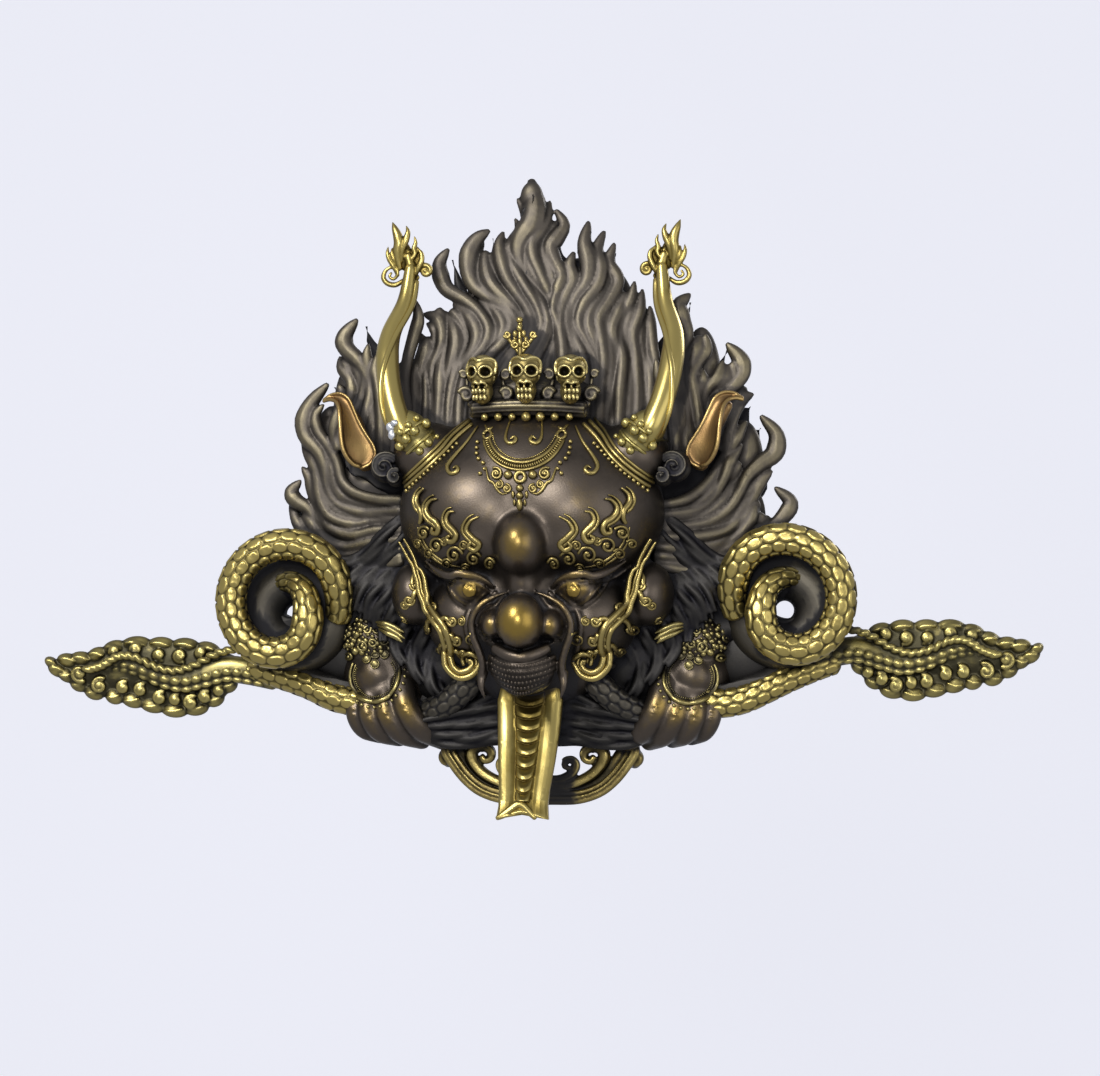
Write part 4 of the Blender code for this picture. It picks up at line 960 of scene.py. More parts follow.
# Hands: a palm seen from the back, four bent fingers, a round ornament and a cluster at the wrist
hand = {
    "palm": (
        (102, -224, 17, 29, 27, 25), (99, -236, 20, 26, 19, 24), (109, -201, 22, 20, 21, 20),
        (84, -228, 20, 13, 22, 22), (105.6, -224, 24, 17.5, 18, 20),
    ),
    "slip": {
        -1: 0, 1: -5,
    },
    "fingers": (
        ((118, -233, 28), (119.6, -247, 35), (115, -258.6, 33), (103.6, -265.4, 22), 6.6),
        ((109.4, -236, 35), (109.4, -249.4, 41), (103.2, -260.6, 37), (91.4, -266.8, 23), 7.0),
        ((98.6, -236, 38), (97, -249, 44), (89.4, -261, 39), (76.4, -268.2, 24), 7.4),
        ((88, -228, 37), (84.6, -243.4, 45), (76.6, -257, 42), (62.6, -268, 24), 8.4),
    ),
    "disc": (105.6, -224.9), "hoop": 16.8, "hatch": 13.7, "dots": 20.2, "open": (28, -224),
    "discs": ((105.5, -211.3), (110.8, -214.2), (99.6, -211.2), (105.2, -217.4)),
    "wrist": (  # across, up, radius, whether it is a ring
        (121.7, -188.1, 1.8, 0), (117.5, -188.7, 1.6, 0), (110.1, -195, 2.4, 1), (104.5, -195, 2.4, 1),
        (116.6, -197.9, 1.9, 0), (113.5, -205.1, 3.0, 1), (106.8, -203.1, 2.4, 1), (99.9, -201.8, 2.6, 1),
        (118.1, -208.3, 2.4, 0), (123.7, -212.3, 2.8, 1), (119.4, -201.5, 1.4, 0), (123, -198.2, 1.4, 0),
        (121.8, -204.8, 1.6, 0), (126, -205.6, 1.4, 0), (114, -192.4, 1.3, 0), (122.4, -193.4, 1.5, 0),
        (97.4, -206.6, 1.6, 0), (94.4, -202.6, 1.6, 0), (127, -199.6, 2.2, 1), (126.8, -191.4, 1.6, 0),
    ),
    "tufts": (
        ((104, -189.6), (97, -190.6), (91, -192.8), (84.4, -196)),
        ((103, -191.6), (95.6, -193.4), (88.6, -197), (84, -200)),
        ((102, -194), (95, -197), (89, -199.6), (85.6, -202.4)),
    ),
    "folds": (0.34, 0.41, 0.48),  # across a finger, as shares of its length
    "filler": 64, "fillerCentre": (111.5, -199.4), "fillerReach": (17, 11.6), "fillerSlant": 3,
    "voxel": 0.8, "back": 1.5,
}


def buildHand(side):
    bm = bmesh.new()
    for x, y, out, rx, ry, ro in hand["palm"]:
        blob(bm, x * side, y, out, rx, ry, ro, 4)
    fingers = [(mirror(smoothLine(joints, 22), side), half) for *joints, half in hand["fingers"]]
    for line, half in fingers:
        tube(bm, line, tapered(22, half, half, half * 0.72), 0.95, 20, blunt=0.9)
    bm = fuse(bm, hand["voxel"] * 1.2, 7)
    for line, half in fingers:
        for share in hand["folds"]:
            knuckle = line[int(22 * share)]
            fold = [knuckle + (half * way * 0.6, 0.6 - 1.4 * abs(way), half * (0.94 - 0.26 * abs(way)))
                    for way in (-1, 0, 1)]
            tube(bm, smoothLine(fold, 9), tapered(9, 0.3, 0.6, 0.3), 1, 8)
    bm = fuse(bm, hand["voxel"], 1)
    for vert in bm.verts:
        vert.co.z = max(vert.co.z, hand["back"])
    return bm


def buildHandJewels(surface, side):
    bm = bmesh.new()
    x, y = hand["disc"]
    first, last = hand["open"]
    rim = laid(surface, arcLine(x, y, hand["hoop"], first, last, 50), 0.9, side)
    tube(bm, rim, graded(50, (0, 0.3, 0.6, 1), (0.8, 1.7, 1.7, 0.8)), 1, 12)
    for angle in np.linspace(first - 6, last + 6, 46):
        spot = arcLine(x, y, hand["hatch"], angle, angle, 1)[0]
        grain(bm, surface, *spot, 1.1, side, 0.2, 0.38, angle)
    tube(bm, laid(surface, arcLine(x, y, hand["hatch"] + 1.4, first, last, 50), 0.2, side), 0.5, 1, 8)
    for spot in arcLine(x, y, hand["dots"], -43, -204, 14):
        grain(bm, surface, *spot, 1.3, side, 0.5)
    for k, (dx, dy) in enumerate(hand["discs"]):
        spot = laid(surface, [(dx, dy)], 0.4 + 0.4 * (k == 3), side)[0]
        blob(bm, *spot, 2.7, 2.7, 1.2, 3)
        hoop(bm, surface, dx, dy, 2.5, 0.5, 1.2, side)
    for dx, dy, radius, ring in hand["wrist"]:
        if ring:
            hoop(bm, surface, dx, dy, radius - 0.3, 1.0, 1.3, side)
        grain(bm, surface, dx, dy, radius * (0.5 if ring else 1.15), side, 1.2)
    x, y = hand["fillerCentre"]
    wide, high = hand["fillerReach"]
    slant = hand["fillerSlant"]
    for k in range(hand["filler"]):  # small grains between the larger ones, each on by the golden angle
        reach = math.sqrt((k + 0.5) / hand["filler"])
        turn = k * math.pi * (3 - math.sqrt(5))
        dx = x + reach * (wide * math.cos(turn) + slant * math.sin(turn))
        dy = y + reach * (high * math.sin(turn) - slant * math.cos(turn))
        grain(bm, surface, dx, dy, 1.15 + 0.5 * (k % 3), side, 0.5)
    for tuft in hand["tufts"]:  # strands that leave the wrist and run back towards the cheek
        line = level(smoothLine(tuft, 18), graded(18, (0, 0.3, 1), (45, 50, 52)), side)
        tube(bm, line, tapered(18, 0.9, 1.9, 0.5), 0.9, 10)
    return bm


# The snakes: a scaled body that coils, runs behind the coil to its tail, and shows again beside the mouth
snake = {
    "coil": (  # angle round the coil's centre, its radius there, and how far out
        (205, 32, 36), (170, 33.5, 45), (130, 36.6, 50), (90, 37.6, 51), (45, 37.6, 51), (0, 37.4, 51),
        (-40, 37, 51), (-70, 35, 52), (-97, 30, 53), (-118, 24.5, 54), (-138, 18.6, 54), (-160, 14.6, 53),
        (-185, 12.6, 51), (-225, 12, 47), (-260, 12.6, 42), (-295, 14, 35), (-325, 15.6, 27),
        (-350, 17, 20),
    ),
    "slip": {
        -1: (0, -1.6, 0), 1: (0, 1.8, 0),
    },
    "cup": (160.6, -183.4, 22.4, 16.4, 27),  # across, up, ring radius, half width, out
    "centre": (161.5, -175), "half": 10.5,
    "run": (
        (100, -238, 30), (118, -241.5, 31), (134, -239, 30), (150, -232, 28), (165, -226, 25),
        (182, -220.5, 20), (196, -217, 14),
    ),
    "mouth": ((32, -216, 52), (43, -230, 51), (57, -242, 46), (74, -250, 36)),
    "coilHalf": ((0, 0.08, 0.6, 1), (8.6, 10.5, 10.5, 5.2)),
    "runHalf": (10.2, 8.6), "mouthHalf": ((0, 0.3, 1), (7, 9, 9)), "pitch": 10.2, "runPitch": 9.384,
    "mouthPitch": 8.2,  # from one row of scales to the next
    "rows": 8, "proud": 1.15, "squareness": 2.7,
    "scale": (0.47, 0.46),  # half of a scale's length and width, as shares of its cell
    "tailRise": (3.5, 150, 46),  # how much the run lifts, from where, and over what length
}


def scaledSkin(bm, line, half, pitch, facets=88, step=0.95):
    # a tube covered in rows of rounded pads, each row half a pad along from its neighbour
    line = np.asarray(line, float)
    length = np.concatenate(([0], np.cumsum(np.linalg.norm(np.diff(line, axis=0), axis=1))))
    place = np.linspace(0, length[-1], int(length[-1] / step))
    half = np.interp(place, length, half)
    line = np.column_stack([np.interp(place, length, line[:, k]) for k in range(3)])
    along = unit(np.gradient(line, axis=0), 0)
    across = unit(np.cross(along, (0, 0, 1)), 0)
    lift = np.cross(across, along)
    angle = np.linspace(0, 2 * math.pi, facets + 1)
    row = (angle / (2 * math.pi) * snake["rows"])[None] + 0.25
    aside = row % 1 - 0.5
    ahead = (place[:, None] / pitch + np.floor(row) * 0.5) % 1 - 0.5
    power = snake["squareness"]
    long, wide = snake["scale"]
    edge = (np.abs(ahead / long) ** power + np.abs(aside / wide) ** power) ** (1 / power)
    pad = np.clip((1.1 - edge) / 0.28, 0, 1)
    pad = pad * pad * (3 - 2 * pad) - 0.3 * np.clip(1 - edge / 0.8, 0, 1)
    fade = np.minimum(np.arange(len(place)), np.arange(len(place))[::-1])[:, None]
    reach = half[:, None] - snake["proud"] * (1 - pad) * half[:, None] / snake["half"]
    reach = reach * np.sqrt(np.clip(fade / 5, 0, 1))
    angle = angle[None, :, None]
    ring = across[:, None] * np.cos(angle) + lift[:, None] * np.sin(angle)
    grid = line[:, None] + ring * reach[:, :, None]
    grid[:, -1] = grid[:, 0]
    skin(bm, grid)


def buildSnake(side):
    bm = bmesh.new()
    turn, radius, out = smoothLine(snake["coil"], 200).T
    turn = np.radians(turn)
    x, y = snake["centre"]
    coil = np.column_stack((x + radius * np.cos(turn), y + radius * np.sin(turn), out)) + snake["slip"][side]
    scaledSkin(bm, mirror(coil, side), graded(200, *snake["coilHalf"]), snake["pitch"])
    run = smoothLine(snake["run"], 40)
    rise, start, length = snake["tailRise"]
    run[:, 1] += rise * side * np.clip((run[:, 0] - start) / length, 0, 1)
    scaledSkin(bm, mirror(run, side), np.linspace(*snake["runHalf"], 40), snake["runPitch"], 64, 1.1)
    return bm


def buildCups():
    # the dark metal inside each coil, pierced by one small hole; its dark colour is painted shade of the
    # coil's deep centre
    bm = bmesh.new()
    for side in sides:
        x, y, radius, half, out = snake["cup"]
        ring = arcLine(x, y + snake["slip"][side][1], radius, 0, 360, 49)
        tube(bm, level(ring, out, side), half, 0.8, 28, blunt=0.1)
    return fuse(bm, 0.9, 2)


def buildMouthSnakes():
    bm = bmesh.new()
    for side in sides:
        line = mirror(smoothLine(snake["mouth"], 20), side)
        scaledSkin(bm, line, graded(20, *snake["mouthHalf"]), snake["mouthPitch"], 56, 1.2)
    return bm


# The tails: a waving body of rope, tiles and ridges between two rows of scroll leaves
tail = {
    "reach": {
        -1: (-5.5, 0), 1: (-1, -3),
    },
    "body": (
        (176, -218.6, 20), (193, -216, 17), (208, -214.5, 16), (222.5, -218, 16), (236.6, -221, 16),
        (252, -218.5, 16), (267.5, -212.5, 15), (280, -210.5, 15), (292, -213.5, 14), (301, -216, 13),
    ),
    "bodyHalf": (9.5, 9, 9, 9.5, 9.5, 8.4, 7, 5.4, 4, 3),
    "rope": (
        (200, -200.5), (214, -204), (228, -211.6), (241, -215.4), (254, -212.8), (267, -206.6),
        (278, -206.4), (288, -212), (297, -215),
    ),
    "curls": (  # across, up, radius, and which way it rolls
        (225, -203.4, 3.8, 1), (238.5, -205.6, 4.8, 1), (252, -205.2, 4.2, 1), (267, -201.6, 4.6, 1),
        (281, -202.8, 3.6, 1), (213.5, -228.4, 3.6, -1), (222.4, -232.6, 4.4, -1), (231.6, -236.4, 5.0, -1),
        (241.6, -234.6, 3.8, -1), (251.6, -233.4, 4.6, -1), (264, -228.2, 4.4, -1),
        (275.4, -226.6, 4.4, -1), (290.6, -225.6, 5.6, -1), (303.6, -217.6, 5.8, 1),
    ),
    "lobes": (  # across, up, half width, half height, turn
        (221, -199.8, 7, 3.6, 20), (236, -197.6, 8, 4, 4), (252, -197, 8, 4, 0), (268, -196.6, 8.6, 4, -4),
        (282, -199.4, 7, 4, -16), (293, -204, 6.4, 4, -20), (303, -206.6, 7, 3.8, 8),
        (312, -207.6, 6.6, 3.6, 10), (208, -226.6, 5.4, 3.8, -40), (217, -236, 5.6, 3.8, -30),
        (229, -242, 7, 3.8, -8), (243, -243.6, 7.6, 3.6, 4), (257, -240.4, 7.4, 3.8, 10),
        (270, -236.8, 6.8, 4, 16), (282, -234.4, 5.6, 4, 24), (295, -231.6, 6, 4, 20),
        (305, -226.4, 5.6, 3.8, 30), (313, -220.4, 5.4, 3.6, 34), (319, -213.6, 6, 3.6, 30),
        (323, -209, 4.4, 2.6, 36),
    ),
    "webs": (  # across, up, half width: the plate behind the leaves
        ((204, -214, 8), (222, -213, 14), (246, -214, 17), (268, -213, 17), (288, -216, 13), (306, -214, 9),
         (320, -211, 3)),
        ((210, -224, 5), (228, -230, 9), (250, -232, 9), (272, -226, 9), (292, -222, 8)),
    ),
    "lobeRidges": (  # how far each runs, as a share of the leaf, and how much higher it lies
        (0.75, 0.4), (0.45, 0.0),
    ),
    "tiles": (  # across the body, half length, half width, out
        (-1.4, 3.0, 2.7, 6.1), (-6.6, 3.2, 2.0, 4.6),
    ),
    "tileCount": 17, "drop": -7, "voxel": 0.7, "sheet": 13,
    "bend": (205, 125),  # the reach is added from here, and is full after this length
}


def buildTail(side):
    bm = bmesh.new()
    body = smoothLine(np.column_stack((tail["body"], tail["bodyHalf"])), 60)
    drop = tail["drop"] * -side
    line = mirror(body[:, :3] + (0, drop, 0), side)
    tube(bm, line, body[:, 3], 0.75, 24)
    for x, y, half, high, turn in tail["lobes"]:
        inward = 1.6 if y < -214 else -1.6
        blob(bm, x * side, y + drop + inward, tail["sheet"], half * 1.15, high * 1.35, 5, 4, turn * side)
        for reach, rise in tail["lobeRidges"]:
            ridge = [(x + half * reach * way, y + drop + inward * bow + rise)
                     for way, bow in ((-1, 1.6), (0, 0.4), (1, 0.6))]
            tube(bm, level(smoothLine(ridge, 9), tail["sheet"] + 4.6, side), tapered(9, 0.5, 1.2, 0.5), 1, 8)
    for web in tail["webs"]:
        plate = smoothLine(web, 24)
        tube(bm, level(plate[:, :2] + (0, drop), tail["sheet"], side), plate[:, 2], 0.34, 32)
    for x, y, radius, roll in tail["curls"]:
        flat = scroll(x, y + drop, radius, 0.9, -120 * roll, 1.5 * roll, 24)
        tube(bm, level(flat, np.linspace(18, 20, 24), side), np.linspace(1.6, 1.25, 24), 1.3, 8)
        blob(bm, x * side, y + drop, 13, radius + 1.4, radius + 1.4, 5.0, 3)
        blob(bm, x * side, y + drop, 20, 1.5, 1.5, 1.5, 2)
    rope = smoothLine(tail["rope"], 21)
    slope = np.degrees(np.arctan2(np.gradient(rope[:, 1]), np.gradient(rope[:, 0])))
    for (x, y), turn in zip(rope, slope):
        blob(bm, x * side, y + drop, 22, 4.6, 2.3, 3.6, 3, (turn + 30) * side)
    for k in range(tail["tileCount"]):
        here, ahead = body[4 + 3 * k:6 + 3 * k]
        small = here[3] / 9
        turn = math.degrees(math.atan2(ahead[1] - here[1], ahead[0] - here[0]))
        for offset, wide, tall, out in tail["tiles"]:
            blob(bm, here[0] * side, here[1] + drop + offset * small, here[2] + out * small,
                 wide * small + 0.5, tall * small, 2.2 * small, 3, turn * side)
    bm = fuse(bm, tail["voxel"], 1)
    start, length = tail["bend"]
    for vert in bm.verts:
        share = max(abs(vert.co.x) - start, 0) / length
        vert.co.x += tail["reach"][side][0] * share
        vert.co.y += tail["reach"][side][1] * share
    return bm


# Dark hair: wavy locks between the cheek and the coil, and below the mouth; their dark colour is partly
# painted shade of the deep recess they fill
locks = {
    "cheek": (
        ((84, -122), (98, -134), (110, -146), (122, -152), (134, -150)),
        ((82, -130), (94, -142), (106, -152), (116, -160), (126, -170)),
        ((82, -138), (92, -148), (102, -158), (112, -168), (118, -182)),
        ((82, -146), (90, -156), (98, -164), (108, -174), (112, -188)),
        ((84, -156), (90, -164), (96, -172), (104, -182), (106, -194)),
        ((86, -168), (90, -176), (94, -184), (98, -192), (98, -202)),
        ((80, -184), (84, -190), (88, -196), (90, -206), (84, -216)),
        ((70, -190), (74, -198), (78, -206), (78, -218), (72, -228)),
        ((58, -200), (64, -208), (68, -218), (66, -230), (60, -238)),
    ),
    "sideMasses": ((96, -165, 26, 26, 38, 17), (134, -210, 17, 25, 24, 12), (62, -212, 32, 26, 30, 14)),
    "middleMasses": ((0, -240, 26, 72, 27, 15), (0, -235, 54, 25, 9, 15)),
    "beard": (  # with how it drops
        (8, -233, 1), (24, -236, 0.95), (42, -243, 0.82), (60, -250, 0.55), (78, -256, 0.2),
    ),
    "beardRows": 10, "beardPitch": 3.7, "apart": 3.4, "voxel": 0.9,
}


def buildLocks():
    bm = bmesh.new()
    for side in sides:
        for k, guide in enumerate(locks["cheek"]):
            for j in (-1, 0, 1):
                flat = shifted(smoothLine(guide, 24), locks["apart"] * j)
                out = 46 + 2.5 * np.sin(np.linspace(0, 7, 24) + k + j) - 2 * abs(j)
                tube(bm, level(flat, out, side), tapered(24, 2.2, 2.7, 1.2), 1, 12)
        for x, *rest in locks["sideMasses"]:
            blob(bm, x * side, *rest, 4)
        for k in range(locks["beardRows"]):
            drop = k * locks["beardPitch"]
            flat = smoothLine([(x, y - drop * share) for x, y, share in locks["beard"]], 26)
            flat[:, 1] += np.sin(np.linspace(0, 8, 26) + k * 1.9) * 1.1
            out = 46 - 0.9 * k + 1.4 * np.sin(np.linspace(0, 9, 26) + k * 2.3)
            tube(bm, level(flat, out, side), tapered(26, 2.6, 2.5, 1.5), 1, 12)
    masses(bm, locks["middleMasses"])
    return fuse(bm, locks["voxel"], 1)


# The openwork scroll under the chin: a crescent with rolled ends and two curls inside it
bracket = {
    "crescent": (
        (56, -266), (61, -273), (57, -281), (49, -291.4), (39, -299.4), (25, -304), (8, -304.6),
        (0, -304.4),
    ),
    "big": (
        (2, -297.6), (10, -297.2), (21.1, -295.4), (33.2, -289.6), (40, -282.6), (42.3, -276),
        (39.2, -271.9), (33.7, -271.2), (29.4, -274.2), (29.6, -278.6), (33.4, -280.3), (35.4, -277.4),
    ),
    "small": (
        (4, -291.6), (10.1, -292.2), (15.6, -291.2), (21.4, -287.8), (23.6, -282.8), (21.1, -279.5),
        (17.1, -280.3), (16.4, -283.8), (19.4, -285),
    ),
    "curls": (("big", 4.3), ("small", 3.2)),
    "ridges": (  # aside, half width, how proud
        (0, 4.0, 0), (-3.2, 1.5, 2.8), (2.4, 2.0, 3.0), (-0.4, 1.2, 4.2),
    ),
    "fill": (  # the band inside the crescent: drawn in to this place, by these shares
        (0, -262), (0.88, 0.9),
    ),
    "strut": ((54, -252, 22), (57, -262, 20), (59, -272, 18)),
    "strutHalf": (8, 6.4, 4), "roll": (61.4, -279, 5.4), "voxel": 0.7, "out": 17,
}


def buildBracket():
    bm = bmesh.new()
    out = bracket["out"]
    crescent = smoothLine(bracket["crescent"], 46)
    for side in sides:
        for offset, half, proud in bracket["ridges"]:
            line = level(shifted(crescent, offset), out + proud, side)
            tube(bm, line, graded(46, (0, 0.5, 1), (half * 1.2, half, half * 1.1)), 1, 12)
        centre, shrink = bracket["fill"]
        tube(bm, level((crescent - centre) * shrink + centre, out - 2.5, side), 4.2, 0.7, 14)
        for name, half in bracket["curls"]:
            flat = smoothLine(bracket[name], 44) + (1.4 - 1.6 * side, 0)
            width = graded(44, (0, 0.45, 1), (half * 0.7, half, half * 0.5))
            tube(bm, level(flat, np.linspace(out, out + 3, 44), side), width, 1, 16)
            ridge = shifted(flat, -1.7)[:34]
            tube(bm, level(ridge, np.linspace(out, out + 3, 34) + width[:34] * 0.7, side), 1.1, 1, 8)
        x, y, radius = bracket["roll"]
        flat = scroll(x, y, radius, 1.2, 120, -1.4, 26)
        tube(bm, level(flat, out - 1, side), np.linspace(2.6, 1.5, 26), 1.6, 12)
        blob(bm, x * side, y, out - 4, 5, 6.4, 6, 3)
        tube(bm, mirror(bracket["strut"], side), bracket["strutHalf"], 0.8, 16)
    return fuse(bm, bracket["voxel"], 2)


# The horns, as the solids have them: a curved polished horn, a tendril round it and a scrolled flame on top
horn = {
    "foot": (80.5, -64, 85),
    "line": (
        (-6, -10, -5), (0, 0, 0), (7, 18, -5), (11.5, 40, -14), (11.5, 60, -26), (4.5, 82, -39),
        (1.5, 106, -46),
    ),
    "thick": 16.0, "taper": (0.12, 0.42, 0.55),
    "tendril": ((0.13, 0.93), (196, -22)),  # where it runs along the horn, and its turn round it
    "flame": (  # the finial's strands: across, up, half width
        ((89.6, 40, 2.0), (90.6, 46.6, 2.7), (90.6, 52, 3.3), (89.8, 56.7, 3.5), (90.6, 61.4, 3.2),
         (92.5, 66.1, 2.2), (94.2, 70.5, 0.4)),
        ((88.6, 45, 1.6), (88.1, 50, 1.9), (86.7, 54.7, 2.2), (84.9, 59.4, 2.3), (83.8, 64.1, 1.6),
         (85.1, 68, 0.4)),
        ((79.7, 61, 0.5), (78.9, 57.1, 1.3), (80, 53.1, 1.7), (79.3, 50, 1.6), (81.3, 46.6, 1.5),
         (84.7, 46.9, 1.4), (86.5, 49.6, 1.2), (85.1, 52, 1.1), (82.9, 51, 1.0)),
        ((80, 34.5, 1.5), (78.3, 37.9, 1.8), (76.2, 41.9, 1.9), (74.6, 46, 1.8), (75, 50, 1.5),
         (77.5, 53.1, 0.7)),
        ((90.6, 35.6, 1.2), (92.2, 39.4, 1.5), (94.2, 43, 1.7), (96.3, 46.6, 1.7), (97.4, 50.7, 1.3),
         (97, 54.6, 0.4)),
        ((92, 42, 1.2), (93.3, 46.4, 1.3), (94.4, 50, 1.0), (94.5, 53.8, 0.4)),
        ((87, 33, 1.2), (89.4, 31, 1.6), (92.9, 29.6, 1.8), (97.6, 30.8, 1.8), (100.1, 34.5, 1.7),
         (98.7, 38.8, 1.4), (95.2, 41, 1.1), (91.8, 40.4, 1.1), (90.7, 36.6, 1.2), (93.4, 33.4, 1.1),
         (96.2, 35.2, 1.0), (95, 37.6, 0.9)),
    ),
    "curls": (
        (72.4, 38.6, 4.0, 1.9, 60, 1.35), (78.6, 34.2, 1.9, 1.0, 40, 1.2), (79.6, 26.6, 2.1, 1.1, 40, 1.2),
    ),
    "backing": ((86, 48, 5, 10, 2.4, -6), (79, 46, 4.4, 9, 2.2, 0)),  # across, up, three radii, turn
    "socket": (84, 49, 2.6),  # where the shaft ends in the flame, and its half width there
    "voxel": 0.5,
}


def hornThick(t):
    slow, quick, bend = horn["taper"]
    return horn["thick"] / 2 * (1 - slow * t - quick * np.maximum(t - bend, 0) / (1 - bend))


def buildHorn(side):
    bm = bmesh.new()
    line = mirror(smoothLine(np.array(horn["line"]) + horn["foot"], 90), side)
    t = np.linspace(0, 1, len(line))
    flame = bmesh.new()
    tube(bm, line, hornThick(t), 1, 40, blunt=0.2)
    (first, last), (start, end) = horn["tendril"]
    share = np.linspace(0, 1, 60)
    place = first + (last - first) * share
    spots = np.column_stack([np.interp(place, t, line[:, k]) for k in range(3)])
    angle = np.radians(start + (end - start) * share)
    reach = hornThick(place) + 0.5
    winding = spots + np.column_stack((-side * np.cos(angle) * reach, share * 0, np.sin(angle) * reach))
    tube(bm, winding, np.interp(share, (0, 0.5, 1), (1.5, 2.0, 2.1)), 1, 14)
    top = line[-1][2]
    for k, spots in enumerate(horn["flame"]):
        strip = smoothLine(spots, 34)
        bulge = top + np.sin(np.linspace(0, math.pi, 34)) * 1.2 + 0.7 * (k % 2)
        tube(flame, level(strip[:, :2], bulge, side), np.maximum(strip[:, 2], 0.3), 1.0, 14)
    for x, y, big, half, start, turns in horn["curls"]:
        flat = scroll(x, y, big, half * 0.6, start, turns, 26)
        tube(flame, level(flat, top, side), np.linspace(half, half * 0.6, 26), 1.2, 12)
        blob(flame, x * side, y, top, half * 0.9, half * 0.9, half * 1.2, 3)
    for x, y, rx, ry, ro, turn in horn["backing"]:
        blob(flame, x * side, y, top - 1.2, rx, ry, ro, 3, turn * side)
    x, y, half = horn["socket"]
    tube(flame, [*line[-8:], (x * side, y, top)], [*hornThick(t[-8:]), half], 1, 24)
    join(bm, meshOf(fuse(flame, horn["voxel"], 1)))
    return bm


# The tongue: side rails, a column of overlapping ribs, and a lip that turns up in two peaks
tongue = {
    "root": (0, -230, 64), "length": 80, "wide": 20, "thick": 3.4,
    "rows": 170, "front": 97, "behind": 33,  # points along it, across its front and across its back
    "share": (0, 0.12, 0.35, 0.6, 0.82, 0.93, 1),
    "width": (0.94, 1.05, 1.0, 0.91, 0.81, 0.79, 0.84),
    "lift": (0, 1, 7, 17, 27, 32, 36), "ribPitch": 7.7, "ribs": (6, 72), "ribWide": (9.6, 4.6),
    "ribBow": 2.6, "ribProud": 4.2,
    "ribSwell": ((0, 0.1, 0.55, 0.86, 1), (0.3, 0.55, 1.0, 0.95, 0.3)),  # along one rib
    "rail": (  # from the middle to the edge, in mm
        (0.40, 0.54, 0.70, 0.90, 1.0), (0, 0.99, 1.265, 0.935, -0.99),
    ),
    "peaks": (0.9, 5.2, 1.3, 1.5),  # where the end starts to part, how far, how sharply, and the notch
    "lipOut": ((300, 316), (31, 36)), "lipProud": 2.8,
    "lip": (
        (-16, -313, 1.4), (-12.4, -311, 2.2), (-7.6, -307.4, 2.5), (-3.2, -304.4, 2.6), (0.6, -305.4, 2.5),
        (4.4, -308.8, 2.3), (8.4, -312.6, 1.6),
    ),
}


def buildTongue():
    x0, y0, out0 = tongue["root"]
    t = np.linspace(0, 1, tongue["rows"])[:, None]
    u = np.concatenate((np.linspace(-1, 1, tongue["front"]), np.linspace(1, -1, tongue["behind"])))[None, :]
    front = (np.arange(u.size) < tongue["front"])[None, :]
    wide = np.interp(t, tongue["share"], tongue["width"]) * tongue["wide"]
    lift = smoothLine(np.column_stack((tongue["lift"], tongue["share"])), 400)
    lift = np.interp(t, lift[:, 1], lift[:, 0])
    down = t * tongue["length"]
    first, last = tongue["ribs"]
    ribWide = np.interp(down, (first, last), tongue["ribWide"])
    offset = u * wide / ribWide
    along = (down - first + tongue["ribBow"] * offset ** 2) / tongue["ribPitch"]
    dome = np.clip(1 - offset ** 2, 0, 1) ** 0.5
    swell = np.interp(along % 1, *tongue["ribSwell"]) * (down > first - 6) * (down < last)
    rail = np.interp(np.abs(u), *tongue["rail"])
    face = tongue["thick"] * 0.75 + rail + tongue["ribProud"] * dome * swell
    depth = np.where(front, face, -tongue["thick"])
    x = x0 + u * wide + 0 * t
    parting, reach, power, notch = tongue["peaks"]
    y = y0 - down - np.interp(t, (parting, 1), (0, 1)) * (reach * np.abs(u) ** power - notch)
    grid = np.stack((x, y + 0 * u, out0 + lift + depth), axis=2)
    grid = capped(grid)
    grid = np.concatenate((grid, grid[:, :1]), axis=1)
    bm = bmesh.new()
    skin(bm, grid)
    lip = smoothLine(tongue["lip"], 36)
    out = out0 + np.interp(-lip[:, 1], *tongue["lipOut"]) + tongue["lipProud"]
    tube(bm, np.column_stack((lip[:, :2], out)), lip[:, 2], 1, 14)
    return bm


def addNode(tree, kind, links=(), **settings):
    # one node: its own settings, values for its inputs, and links by socket
    node = tree.nodes.new(kind)
    for key, value in settings.items():
        if key in node.bl_rna.properties.keys():
            setattr(node, key, value)
        else:
            node.inputs[key].default_value = value
    for socket, source in links:
        tree.links.new(source, node.inputs[socket])
    return node


def hexColour(code):
    channels = [int(code[i:i + 2], 16) / 255 for i in (1, 3, 5)]
    return (*[c / 12.92 if c <= 0.04045 else ((c + 0.055) / 1.055) ** 2.4 for c in channels], 1)


def blend(tree, share, first, second):
    node = addNode(tree, "ShaderNodeMix", [(0, share)], data_type="RGBA")
    for socket, colour in ((6, first), (7, second)):
        if isinstance(colour, str):
            node.inputs[socket].default_value = hexColour(colour)
        else:
            tree.links.new(colour, node.inputs[socket])
    return node.outputs[2]


def eased(tree, source, span, start=0.0, end=1.0, shift=0.0):
    # a soft step from start to end as the source goes through the span, which shift moves up
    low, high = (edge + shift for edge in span)
    limits = {"From Min": low, "From Max": high, "To Min": start, "To Max": end}
    node = addNode(tree, "ShaderNodeMapRange", [(0, source)], interpolation_type="SMOOTHSTEP", **limits)
    return node.outputs[0]


def added(tree, first, second, scale=1.0):
    # first + second * scale
    node = addNode(tree, "ShaderNodeMath", [(0, second), (2, first)], operation="MULTIPLY_ADD")
    node.inputs[1].default_value = scale
    return node.outputs[0]


